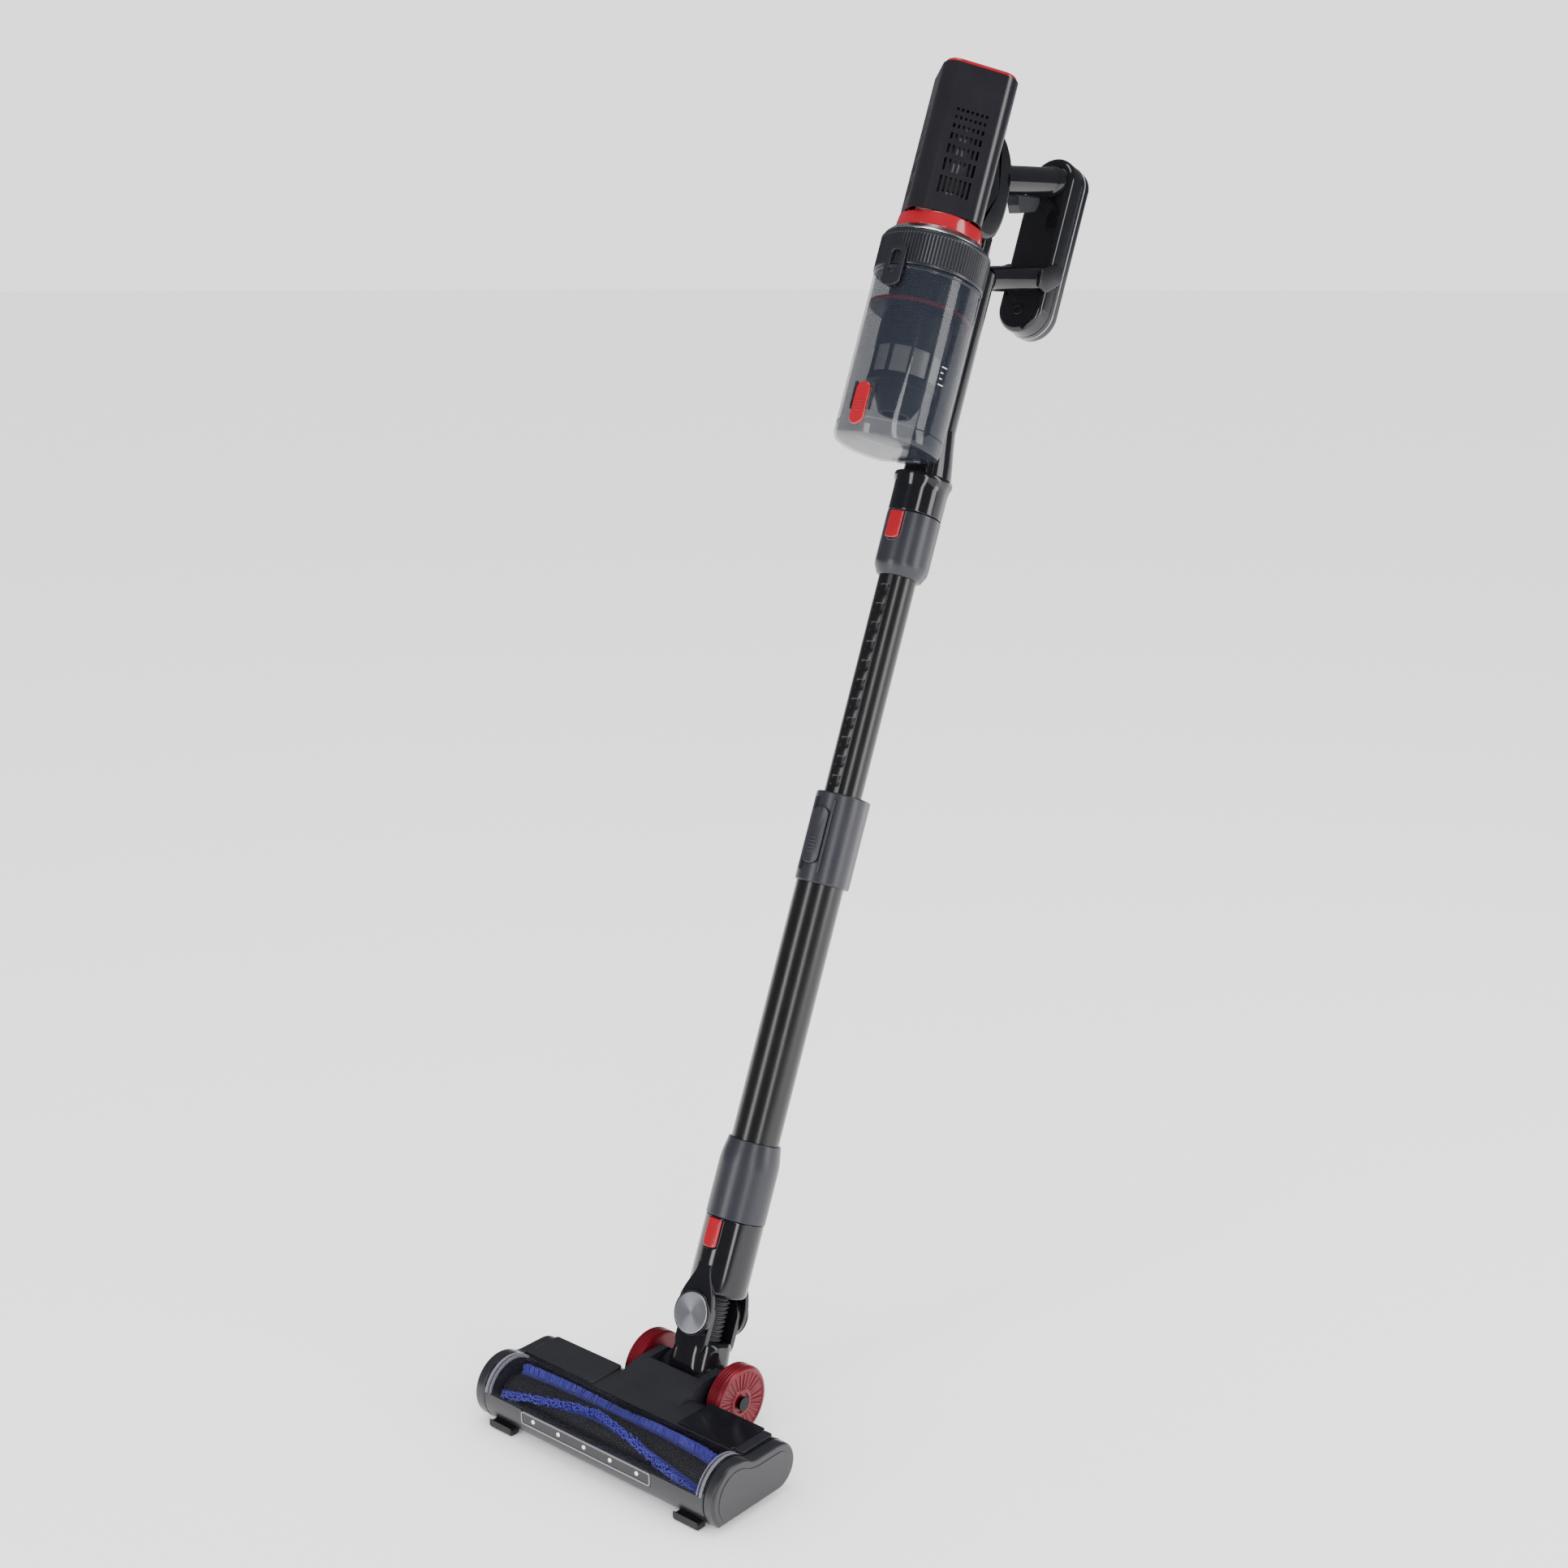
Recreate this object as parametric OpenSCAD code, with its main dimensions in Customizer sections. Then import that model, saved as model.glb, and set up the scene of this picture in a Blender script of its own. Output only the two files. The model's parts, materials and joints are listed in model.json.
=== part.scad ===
// Cordless stick vacuum. X is across the floor head, Y points to the rear, Z is up.
// The origin is on the floor, below the middle of the wheel axle.
// Pieces above the swing joint are drawn upright in the stick's own frame and leaned back by stick().

/* [Stance] */
// Lean of the stick from vertical, towards the rear
lean = 22.5; // [5:0.5:40]
// Distance from the wheel axle up to the swing axis
neck_len = 59; // [56:1:70]

/* [Floor head] */
// Width of the floor head over its end caps
head_w = 270; // [225:5:330]
// Thickness of each end cap
cap_t = 12; // [8:1:18]
// Height of the sole above the floor
sole_z = 6; // [4:0.5:7]
// Distance from the brush axis back to the wheel axle
brush_back = 97.4; // [94:0.2:110]
// Height of the brush axis
brush_z = 25; // [24:0.5:26]
// Outer radius of the window arch
arch_r = 28; // [27:0.5:30]
// Radius of the brush over its bristles
bristle_r = 23.6; // [20:0.2:23.6]
// Radius of the brush core
core_r = 15; // [12:0.5:17]
// Depth of the rear compartment behind the brush axis
rear_depth = 69; // [66:0.5:70]
// Height of the flat top of the rear compartment
top_z = 46; // [44:0.5:48]
// Wall of the floor head's shells
head_wall = 2.4; // [1.6:0.2:3]

/* [Wheels] */
// Radius of the rear wheels
wheel_r = 31; // [29:0.5:34]
// Width of each rear wheel
wheel_t = 15; // [12:0.5:20]
// Inner face of each wheel from the middle
wheel_x = 39; // [38.5:0.5:48]
// Radius of the wheel axle
axle_r = 4; // [3:0.25:5]

/* [Neck] */
// Radius of the neck collar
neck_r = 25.4; // [24:0.2:28]
// Radius of the barrel that pitches on the axle
barrel_r = 22; // [20:0.5:24]
// Radius of the brushed pivot discs
disc_r = 17.5; // [14:0.5:19]
// Length of the neck collar above the swing axis
collar_top = 82; // [72:1:100]
// Outer radius of the bellows hose
bellows_r = 13.4; // [11:0.2:13.6]

/* [Wand] */
// Length of the lower connector above the neck collar
connector_len = 67; // [60:1:90]
// Outer radius of the lower connector
connector_r = 25.9; // [24.4:0.1:28]
// Outer radius of the outer tube
outer_r = 20.8; // [19.6:0.2:21.4]
// Wall of both tubes
tube_wall = 1.6; // [1.2:0.1:2]
// Length of outer tube in sight
outer_show = 224; // [180:1:280]
// Length of the telescoping collar
sleeve_len = 79; // [70:1:100]
// Outer radius of the inner tube
inner_r = 16.6; // [15:0.2:16.6]
// Length of inner tube in sight
inner_show = 194; // [160:1:240]
// Length of inner tube hidden in the outer tube
inner_hidden = 150; // [120:1:165]
// Distance between the height notches
notch_pitch = 17; // [14:0.5:20]

/* [Dust bin] */
// Length of the wand's upper connector
upper_len = 56; // [48:1:80]
// Length of the inlet neck below the bin
inlet_len = 38; // [32:1:60]
// Outer radius of the clear cup
cup_r = 46.4; // [42:0.2:48]
// Height of the cup with its door
cup_h = 148; // [120:1:180]
// Height of the door at the bottom of the cup
door_h = 16; // [12:0.5:20]
// Wall of the clear cup
cup_wall = 2.2; // [1.6:0.2:3]
// Height of the ribbed collar over the cup
band_h = 32; // [26:1:40]
// Distance of the cup axis in front of the stick axis
cup_fwd = 61; // [60.9:0.1:64]

/* [Motor housing] */
// Width and depth of the motor housing
body_w = 66; // [62:1:72]
// Corner radius of the motor housing
body_corner = 14; // [10:1:20]
// Height of the motor housing
body_h = 128; // [116:1:160]
// Wall of the motor housing
body_wall = 2.4; // [1.8:0.2:3.2]
// Distance of the housing axis in front of the stick axis
body_fwd = 65; // [63:0.5:66]
// Height of the red ring under the housing
red_h = 13; // [9:0.5:18]

/* [Handle] */
// Front face of the grip behind the stick axis
grip_q = 75; // [70:1:90]
// Width of the grip
grip_w = 46; // [40:1:50]
// Depth of the grip's front shell
shell_d = 16.7; // [14:0.1:22]
// Depth of the battery pack
battery_d = 16; // [12:1:26]
// Length of the grip and battery
grip_len = 164; // [150:1:180]
// Lower end of the grip below the housing's foot
grip_drop = 40; // [36:1:44]
// Height of the upper arm's root above the housing's foot
upper_arm_rise = 68; // [60:1:76]
// Depth of the lower arm's root below the housing's foot
lower_arm_drop = 22; // [18:1:24]
// Rise of both handle arms towards the rear
arm_rise = 22.5; // [16:0.5:26]

/* [Fits] */
// Radial clearance of running fits
run = 0.06; // [0.03:0.01:0.1]
// Clearance between faces of different pieces
gap = 0.4; // [0.3:0.05:0.6]

/* [Hidden] */
$fn = 48;

swing_y = neck_len * sin(lean);
swing_z = wheel_r + neck_len * cos(lean);

// Heights along the stick, above the swing axis
conn_top = collar_top + connector_len;
lip_len = 16;
sleeve_s = conn_top + outer_show;
sleeve_top = sleeve_s + sleeve_len;
upper_s = sleeve_top + inner_show;
seam_up = upper_s + upper_len;
cup_s = seam_up + inlet_len;
door_top = cup_s + door_h;
band_s = cup_s + cup_h;
silver_s = band_s + band_h;
silver_h = 7;
red_s = silver_s + silver_h;
body_s = red_s + red_h;
cap_s = body_s + body_h;
cap_h = 4;
grip_s = body_s - grip_drop;
ring_fwd = (cup_fwd + body_fwd) / 2;
band_r = cup_r + 1.4;

// Sockets and tubes
bore_r = outer_r + run;
spigot_r = 17.2;
socket_r = spigot_r + 0.1;
duct_r = 14.5;
spigot_len = 20;
tube_seat = 13;
inner_seat = 44;
guide_len = 12;
rear_bump = 10;
neck_back = 2;
upper_r = 25;
spine_r = 18;
spine_wall = 2.6;
spine_front = cup_fwd - cup_r - gap;
spine_top = silver_s + 5;
overlap = 1;

// Latches
latch_w = 13;
latch_h = 24;
latch_out = 3;
latch_in = 1.4;
latch_travel = 2;
lever_w = 15;
lever_len = 49;
lever_travel = 5;

// Cup clip and door
hinge_fwd = 30;
hinge_s = cup_s + 3;
knuckle_r = 3;
hinge_clear = 1.1;
pin_r = 1.5;
door_knuckle_w = 18;
cup_knuckle_w = 5;
clip_w = 18;
clip_h = 36;
clip_s = band_s - 17;
clip_t = 2.6;
clip_fwd = cup_fwd + band_r + 1 + clip_t / 2;
shroud_r = 30;
shroud_len = 92;
ring_drop = 25;
button_w = 15;
button_h = 37;
button_t = 3.2;
button_fwd = cup_fwd + cup_r + gap + button_t / 2;
button_s = cup_s + 8;

port_s = band_s - 60;
port_h = 24;
port_w = 18;

// Vents in the motor housing
vent_rows = 7;
vent_cols = 7;
vent_w = 2;
vent_pitch = 4.2;
vent_space = 4.3;
vent_top = 38.5;
function vent_h(i) = 2.4 + 0.345 * i * i;
function vent_drop(i) = i == 0 ? 0 : vent_drop(i - 1) + vent_h(i - 1) + vent_space;

// Suction motor
fan_motor_r = 27;
motor_rise = 14;
motor_h = 70;

// Handle
arm_w = 34;
arm_t = 27.5;
arm_wall = 3;
lower_arm_t = 22.3;
lower_arm_w = grip_w + 6;
wrap_d = 17;
bracket_w = 30;
grip_wall = 2.5;
battery_q = grip_q + shell_d + gap;
trigger_w = 12;
trigger_y = 26;
trigger_z = -10;
trigger_len = 32;
jack_r = 2.9;
jack_len = 10;
jack_up = 20;

// Rib at the cup's foot that rocks in a groove of the spine
tilt_r = 1.6;
tilt_fwd = 15;
tilt_s = cup_s + 2;

// Floor head
brush_y = -brush_back;
chamber_r = arch_r - 2.6;
window_t = 1.8;
rear_y = brush_y + rear_depth;
hump_r = (top_z - sole_z) / 2;
hump_z = (top_z + sole_z) / 2;
split_z = hump_z;
window_z = brush_z + 5.6;
window_y = brush_y + 18;
inner_w = head_w - 2 * cap_t;
yoke_x = 27.4;
yoke_t = 8.4;
barrel_w = 53;
belt_w = 6;
belt_t = 1.6;
plate_t = 3;
yoke_eye_r = 10;
well_gap = 1.2;
brush_len = inner_w - 2 * plate_t - 1;
stub_r = 4;
brush_pulley_r = 9;
belt_x = -brush_len / 2 + 1;
motor_pulley_r = 5;
motor_r = 13;
motor_y = rear_y - 22;
motor_z = sole_z + head_wall + motor_r + 0.1;
foot_x = 105;
foot_w = 26;
led_x = -5;
led_pitch = 29.4;
led_count = 5;
led_w = 146;
led_t = 1.4;
led_face = brush_y - arch_r;

// Swing joint
lug_r = 19;
lug_t = 4.8;
inner_lug_r = 16.5;
inner_lug_t = 5.4;
swing_pin_r = 6;
hose_wall = 1.6;
hose_ribs = 11;
hose_low = -24;
hose_rib_pitch = 4.2;
hose_high = 24;
cavity_top = hose_high + 6;

module stick() {
    translate([0, swing_y, swing_z]) rotate([-lean, 0, 0]) children();
}

module arm(rise) {
    stick() translate([0, 0, body_s + rise]) rotate([arm_rise, 0, 0]) children();
}

module tube(r, hole, h) {
    difference() {
        cylinder(r = r, h = h);
        translate([0, 0, -overlap]) cylinder(r = hole, h = h + 2 * overlap);
    }
}

module rounded(w, d, r) {
    square([w, d - 2 * r], center = true);
    square([w - 2 * r, d], center = true);
    for (x = [-1, 1], y = [-1, 1]) translate([x * (w / 2 - r), y * (d / 2 - r)]) circle(r);
}

// Outline with two round ends: w is the smaller size, across
module stadium(w, h) {
    square([w, h - w], center = true);
    for (y = [-1, 1]) translate([0, y * (h - w) / 2]) circle(w / 2);
}

// Extrudes a (Y, Z) outline along X, centred
module along_x(w) {
    rotate([90, 0, 90]) linear_extrude(w, center = true) children();
}

module pin_x(r, w) {
    rotate([0, 90, 0]) cylinder(r = r, h = w, center = true);
}

module box(x, y, z) {
    translate([x[0], y[0], z[0]]) cube([x[1] - x[0], y[1] - y[0], z[1] - z[0]]);
}

// ---- Motor housing ----

// The housing is a rounded square with one corner to the front
module body_outline(inset) {
    translate([0, -body_fwd]) rotate(45)
        rounded(body_w - 2 * inset, body_w - 2 * inset, body_corner - inset);
}

module vent_slots() {
    for (side = [-1, 1], row = [0:vent_rows - 1], col = [0:vent_cols - 1])
        translate([0, -body_fwd, cap_s - vent_top - vent_drop(row) - vent_h(row)]) rotate([0, 0, side * 45])
            translate([(col - (vent_cols - 1) / 2) * vent_pitch - vent_w / 2, -body_w / 2 - 1, 0])
                cube([vent_w, body_wall + 2, vent_h(row)]);
}

module motor_housing() color("#17171b") stick() difference() {
    translate([0, 0, body_s]) linear_extrude(body_h) body_outline(0);
    translate([0, 0, body_s - overlap]) linear_extrude(body_h - body_wall + overlap) body_outline(body_wall);
    vent_slots();
}

module top_cap() color("#b01c2c") stick() {
    translate([0, 0, cap_s]) linear_extrude(cap_h) body_outline(2);
}

module red_ring() color("#b01c2c") stick() {
    translate([0, -ring_fwd, red_s]) tube(body_w / 2 + 4, body_w / 2 - 1, red_h);
}

module silver_ring() color("#c9cace") stick() {
    translate([0, -ring_fwd, silver_s]) difference() {
        cylinder(r1 = band_r - 3, r2 = body_w / 2 + 5, h = silver_h);
        translate([0, 0, -overlap]) cylinder(r = body_w / 2 - 1, h = silver_h + 2 * overlap);
    }
}

module suction_motor() color("#8d9096") stick() {
    translate([0, -body_fwd, body_s + motor_rise]) difference() {
        cylinder(r = fan_motor_r, h = motor_h);
        translate([0, 0, -overlap]) cylinder(r = 3 + run, h = 30);
    }
}

module motor_seal() color("#222222") stick() {
    translate([0, -body_fwd, body_s + 20]) tube(body_w / 2 - body_wall - 0.1, fan_motor_r + 0.05, 10);
}

module control_board() color("#1d5a35") stick() {
    translate([0, -body_fwd, body_s + motor_rise + motor_h + 0.05]) linear_extrude(1.6) rotate(45)
        rounded(48, 48, 8);
}

module impeller() color("#d6d7da") stick() translate([0, -body_fwd, body_s + 2]) {
    cylinder(r = 26, h = 1.6);
    cylinder(r = 7, h = 9);
    cylinder(r = 3, h = 38);
    for (a = [0:40:320]) rotate([0, 0, a]) translate([5, -0.7, 1]) cube([20, 1.4, 7]);
}

// ---- Spine, inlet neck and handle ----

module spine_outline(r, front) {
    intersection() {
        circle(r);
        translate([-r, -front]) square([2 * r, front + r]);
    }
}

module spine_duct() color("#1b1b20") stick() {
    duct = spine_r - spine_wall;
    difference() {
        translate([0, 0, cup_s - 3]) linear_extrude(spine_top - cup_s + 3)
            spine_outline(spine_r, spine_front);
        translate([0, 0, cup_s - 4])
            linear_extrude(spine_top - cup_s - 4) spine_outline(duct, spine_front - spine_wall);
        box([-port_w / 2, port_w / 2], [-spine_front - overlap, 0], [port_s, port_s + port_h]);
        translate([0, -tilt_fwd, tilt_s]) pin_x(tilt_r + run, 22);
    }
}

module inlet_neck() color("#1b1b20") stick() {
    top = cup_s - 3;
    difference() {
        union() {
            translate([0, neck_back, seam_up]) cylinder(r = upper_r, h = top - seam_up);
            intersection() {
                translate([0, 0, top]) cylinder(r1 = upper_r + neck_back, r2 = spine_r + 1, h = 32);
                box([-40, 40], [-spine_front + 4, 40], [top, top + 32]);
            }
        }
        translate([0, 0, seam_up - overlap]) cylinder(r = socket_r, h = spigot_len + 2);
        translate([0, 0, seam_up]) cylinder(r = spine_r - spine_wall, h = top - seam_up + overlap);
        translate([0, 0, top]) cylinder(r = spine_r + 0.05, h = 40);
    }
}

module handle_bracket() color("#1b1b20") stick() {
    front = -body_fwd + body_w / 2 - 8;
    difference() {
        union() {
            along_x(bracket_w) polygon([
                [front, body_s + 6], [-12, body_s + 8], [-3, body_s + 14], [3, body_s + 28], [4, body_s + 46],
                [1, body_s + 72], [-8, body_s + 86], [-20, body_s + 96], [front, body_s + 100]
            ]);
            box([-10, 10], [-spine_front + 2, -3], [spine_top, body_s + 12]);
        }
        translate([0, 0, body_s]) linear_extrude(body_h) body_outline(0);
        screw_places() cylinder(r = 2.8, h = 6);
    }
}

module screw_places() {
    for (s = [26, 56]) translate([-bracket_w / 2 - 3, -12, body_s + s]) rotate([0, 90, 0]) children();
}

module handle_screws() color("#3a3a3e") stick() {
    screw_places() translate([0, 0, 3.6]) cylinder(r = 2.5, h = 2.4);
}

module arm_outline(w, t) {
    rotate(90) stadium(t, w);
}

module upper_arm() color("#1b1b20") difference() {
    arm(upper_arm_rise) rotate([-90, 0, 0]) difference() {
        translate([0, 0, -6]) linear_extrude(grip_q + 40) arm_outline(arm_w, arm_t);
        translate([0, 0, 12]) linear_extrude(grip_q + 40) arm_outline(arm_w - 2 * arm_wall,
            arm_t - 2 * arm_wall);
    }
    stick() box([-40, 40], [grip_q, grip_q + 90], [body_s, body_s + 200]);
    stick() along_x(bracket_w + 10) polygon([
        [-40, body_s - 10], [-3, body_s + 14], [3, body_s + 28], [4, body_s + 46],
        [1, body_s + 72], [-8, body_s + 86], [-40, body_s + 120]
    ]);
    arm(upper_arm_rise) {
        box([-trigger_w / 2 - gap, trigger_w / 2 + gap], [trigger_y - 4, trigger_y + trigger_len + 2],
            [-20, -5]);
        translate([0, trigger_y, trigger_z]) pin_x(pin_r + run, 60);
    }
}

module trigger_pin() color("#9a9ca0") arm(upper_arm_rise) {
    translate([0, trigger_y, trigger_z]) pin_x(pin_r, 23);
}

module trigger() color("#2b2b30") arm(upper_arm_rise) difference() {
    translate([0, trigger_y, trigger_z]) along_x(trigger_w) polygon([
        [-3, -1.2], [-2.3, 2], [-0.9, 3], [1, 3], [trigger_len - 2, -2], [trigger_len - 2, -8],
        [trigger_len - 8, -15], [0, -17], [-3, -10]
    ]);
    translate([0, trigger_y, trigger_z]) pin_x(pin_r + run, trigger_w + 2);
}

module lower_arm() color("#1b1b20") difference() {
    arm(-lower_arm_drop) rotate([-90, 0, 0]) linear_extrude(grip_q + wrap_d + 30)
        arm_outline(lower_arm_w, lower_arm_t);
    stick() {
        box([-40, 40], [-40, 0], [body_s - 90, body_s + 60]);
        translate([0, 0, body_s - 90]) cylinder(r = spine_r + 0.05, h = 150);
        box([-40, 40], [grip_q + wrap_d, grip_q + 90], [body_s - 90, body_s + 90]);
        box([-grip_w / 2 - gap, grip_w / 2 + gap], [grip_q, grip_q + 90], [body_s - 90, body_s + 90]);
    }
}

module grip_outline(inset) {
    stadium(grip_w - 2 * inset, grip_len - 2 * inset);
}

// Extrudes a (X, height) outline of the grip from one depth to another
module grip_slab(q, d, inset) {
    translate([0, q + d, grip_s + grip_len / 2]) rotate([90, 0, 0]) linear_extrude(d) grip_outline(inset);
}

module jack_bore(r, d) {
    stick() translate([0, grip_q, grip_s + jack_up]) rotate([-90, 0, 0]) cylinder(r = r, h = d);
}

module grip_shell() color("#17171b") difference() {
    union() {
        difference() {
            stick() grip_slab(grip_q, shell_d, 0);
            stick() grip_slab(grip_q + grip_wall, shell_d, grip_wall);
        }
        jack_bore(5.5, jack_len);
    }
    jack_bore(jack_r, jack_len + overlap);
}

module battery_pack() color("#17171b") stick() difference() {
    grip_slab(battery_q, battery_d, 0);
    translate([0, battery_q + battery_d - 5, grip_s + grip_len - 36]) rotate([-90, 0, 0])
        linear_extrude(6) rounded(18 + 2 * gap, 12 + 2 * gap, 3);
}

module battery_latch() color("#b01c2c") stick() {
    translate([0, battery_q + battery_d - 2.6, grip_s + grip_len - 36]) rotate([-90, 0, 0])
        linear_extrude(3.8) rounded(18, 12, 3);
}

// ---- Dust bin ----

module cup_collar() color("#26272d") stick() translate([0, -cup_fwd, band_s]) {
    difference() {
        translate([0, 0, gap]) cylinder(r = band_r, h = band_h - 2 * gap);
        translate([0, 0, 5]) cylinder(r = band_r - 3.4, h = band_h);
        translate([0, 0, -overlap]) cylinder(r = shroud_r - 4, h = band_h);
        box([-band_r, band_r], [cup_fwd - spine_front - gap, cup_fwd], [-overlap, band_h + overlap]);
    }
}

module pre_filter() color("#ececec") stick() translate([0, -cup_fwd, band_s + 5.2]) {
    tube(band_r - 4, 9, 18);
}

module shroud() color("#3a3c44") stick() translate([0, -cup_fwd, band_s - shroud_len]) {
    difference() {
        tube(shroud_r, shroud_r - 1.6, shroud_len + gap);
        for (a = [0:36:324]) rotate([0, 0, a])
            box([shroud_r - 4, shroud_r + 1], [-6.5, 6.5], [6, shroud_len - ring_drop - 10]);
    }
    translate([0, 0, shroud_len - ring_drop - 4]) tube(cup_r - cup_wall - 2.2, shroud_r - 1, 4);
}

module cyclone_cone() color("#2c2e36") stick() translate([0, -cup_fwd, band_s - shroud_len - 24]) {
    difference() {
        union() {
            cylinder(r1 = 14, r2 = shroud_r - 4, h = 24);
            translate([0, 0, 23]) cylinder(r = shroud_r, h = 1);
        }
        translate([0, 0, -overlap]) cylinder(r1 = 11, r2 = shroud_r - 6, h = 24 + 2 * overlap);
    }
}

module level_ring() color("#b01c2c") stick() translate([0, -cup_fwd, band_s - ring_drop - 3.6]) {
    tube(cup_r - cup_wall - 0.2, cup_r - cup_wall - 2.1, 3);
}

module bin_half(front) {
    edge = -hinge_fwd + (front ? -gap / 2 : gap / 2);
    if (front) box([-60, 60], [-cup_fwd - 60, edge], [cup_s - overlap, door_top + overlap]);
    else box([-60, 60], [edge, 0], [cup_s - overlap, door_top + overlap]);
}

module cup_knuckles(w_extra, r) {
    for (x = [-1, 1])
        translate([x * (door_knuckle_w + cup_knuckle_w + 2 * gap) / 2, -hinge_fwd, hinge_s])
            pin_x(r, cup_knuckle_w + w_extra);
}

module door_knuckle(w_extra, r) {
    translate([0, -hinge_fwd, hinge_s]) pin_x(r, door_knuckle_w + w_extra);
}

module cup_shell(low, high) {
    difference() {
        translate([0, -cup_fwd, low]) cylinder(r = cup_r, h = high - low);
        translate([0, -cup_fwd, low + cup_wall]) cylinder(r = cup_r - cup_wall, h = high - low);
    }
}

module dust_cup() color("#8fa0aa", 0.45) stick() difference() {
    union() {
        translate([0, -cup_fwd, door_top]) tube(cup_r, cup_r - cup_wall, band_s - door_top);
        intersection() {
            cup_shell(cup_s, door_top);
            bin_half(false);
        }
        cup_knuckles(0, knuckle_r);
        translate([0, -tilt_fwd, tilt_s]) pin_x(tilt_r, 20);
        for (x = [-1, 1]) {
            translate([x * (button_w / 2 + gap + 1), -cup_fwd - cup_r + 0.1, door_top + 6]) linear_extrude(22)
                square([2, 4.6], center = true);
            translate([x * (clip_w / 2 + 1.4), -clip_fwd, clip_s]) pin_x(2.6, 2);
            translate([x * (clip_w / 2 + 1.4), -clip_fwd + 3.1, clip_s]) cube([2, 6.6, 4], center = true);
        }
    }
    door_knuckle(2 * gap, knuckle_r + hinge_clear);
    translate([0, -hinge_fwd, hinge_s]) pin_x(pin_r + run, 60);
    translate([0, -clip_fwd, clip_s]) pin_x(pin_r + run, 60);
    box([-port_w / 2, port_w / 2], [-cup_fwd, 0], [port_s, port_s + port_h]);
}

module door_pin() color("#9a9ca0") stick() {
    translate([0, -hinge_fwd, hinge_s]) pin_x(pin_r, door_knuckle_w + 2 * cup_knuckle_w + 2 * gap);
}

module cup_door() color("#8fa0aa", 0.45) stick() difference() {
    union() {
        difference() {
            intersection() {
                cup_shell(cup_s, door_top - gap);
                bin_half(true);
            }
            translate([0, -hinge_fwd, hinge_s]) pin_x(knuckle_r + hinge_clear, 2 * cup_r);
        }
        door_knuckle(0, knuckle_r);
        box([-door_knuckle_w / 2, door_knuckle_w / 2], [-hinge_fwd - knuckle_r - 3, -hinge_fwd - pin_r],
            [cup_s, cup_s + cup_wall]);
    }
    cup_knuckles(2 * gap, knuckle_r + gap);
    translate([0, -hinge_fwd, hinge_s]) pin_x(pin_r + run, 60);
}

module door_button() color("#b01c2c") stick() {
    translate([0, -button_fwd + button_t / 2, button_s + button_h / 2]) rotate([90, 0, 0])
        linear_extrude(button_t) stadium(button_w, button_h);
}

module cup_clip() color("#2b2b30") stick() {
    translate([0, -clip_fwd + clip_t / 2, clip_s + clip_h / 2 - 3]) rotate([90, 0, 0])
        linear_extrude(clip_t) difference() {
            rounded(clip_w, clip_h, 6);
            translate([0, 2]) rounded(clip_w - 9, clip_h - 14, 4);
        }
    translate([0, -clip_fwd, clip_s]) pin_x(pin_r, clip_w + 5);
}

// ---- Wand ----

module latch_pocket(s, front) {
    box([-latch_w / 2 - gap, latch_w / 2 + gap], [-front - 9, -front + latch_in + latch_travel + gap],
        [s - latch_h - gap, s + gap]);
}

module latch_button(s, front) {
    translate([0, -front + latch_in, s - latch_h / 2]) rotate([90, 0, 0])
        linear_extrude(latch_in + latch_out) rounded(latch_w, latch_h, 3);
}

module upper_connector() color("#232329") stick() {
    difference() {
        union() {
            translate([0, neck_back, upper_s + 6]) cylinder(r = upper_r, h = upper_len - 6);
            translate([0, neck_back, upper_s]) cylinder(r1 = upper_r - 3, r2 = upper_r, h = 6);
            translate([0, 0, seam_up - overlap]) cylinder(r = spigot_r, h = spigot_len + overlap);
        }
        translate([0, 0, upper_s - overlap]) cylinder(r = inner_r + 0.1, h = inner_seat + overlap);
        translate([0, 0, upper_s]) cylinder(r = duct_r, h = upper_len + spigot_len + overlap);
        latch_pocket(seam_up - 1, upper_r - neck_back);
    }
}

module upper_latch() color("#b01c2c") stick() latch_button(seam_up - 1, upper_r - neck_back);

module inner_tube() color("#141416") stick() {
    low = sleeve_top - inner_hidden;
    difference() {
        translate([0, 0, low]) tube(inner_r, inner_r - tube_wall, upper_s + inner_seat - low);
        for (s = [sleeve_top + 6:notch_pitch:upper_s - 8])
            box([-4, 4], [-inner_r - overlap, -inner_r + tube_wall * 0.6], [s, s + 9]);
    }
}

module inner_bush() color("#d8d8d8") stick() {
    translate([0, 0, sleeve_top - inner_hidden]) tube(outer_r - tube_wall - run, inner_r + 0.05, guide_len);
}

module outer_tube() color("#141416") stick() {
    low = collar_top + tube_seat;
    translate([0, 0, low]) tube(outer_r, outer_r - tube_wall, sleeve_top - guide_len - low);
}

module tube_collar() color("#232329") stick() {
    rim = 22.6;
    difference() {
        union() {
            translate([0, 0, sleeve_s + gap]) cylinder(r = rim, h = sleeve_len - gap);
            translate([0, 0, sleeve_s + gap]) linear_extrude(sleeve_len - gap) union() {
                translate([0, rear_bump]) circle(rim - 3.6);
                translate([-rim + 3.6, 0]) square([2 * rim - 7.2, rear_bump]);
            }
            for (x = [-1, 1]) translate([x * (lever_w / 2 + gap + 1), -rim, sleeve_s + 10])
                linear_extrude(lever_len + lever_travel + 6) square([2, 6], center = true);
        }
        translate([0, 0, sleeve_s]) cylinder(r = bore_r, h = sleeve_len - guide_len);
        translate([0, 0, sleeve_s]) cylinder(r = inner_r + run, h = sleeve_len + overlap);
    }
}

module slide_lever() color("#34343a") stick() {
    translate([0, -22.6 - gap, sleeve_s + 16 + lever_len / 2]) rotate([90, 0, 0])
        linear_extrude(2.8) rounded(lever_w, lever_len, 6);
}

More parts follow.
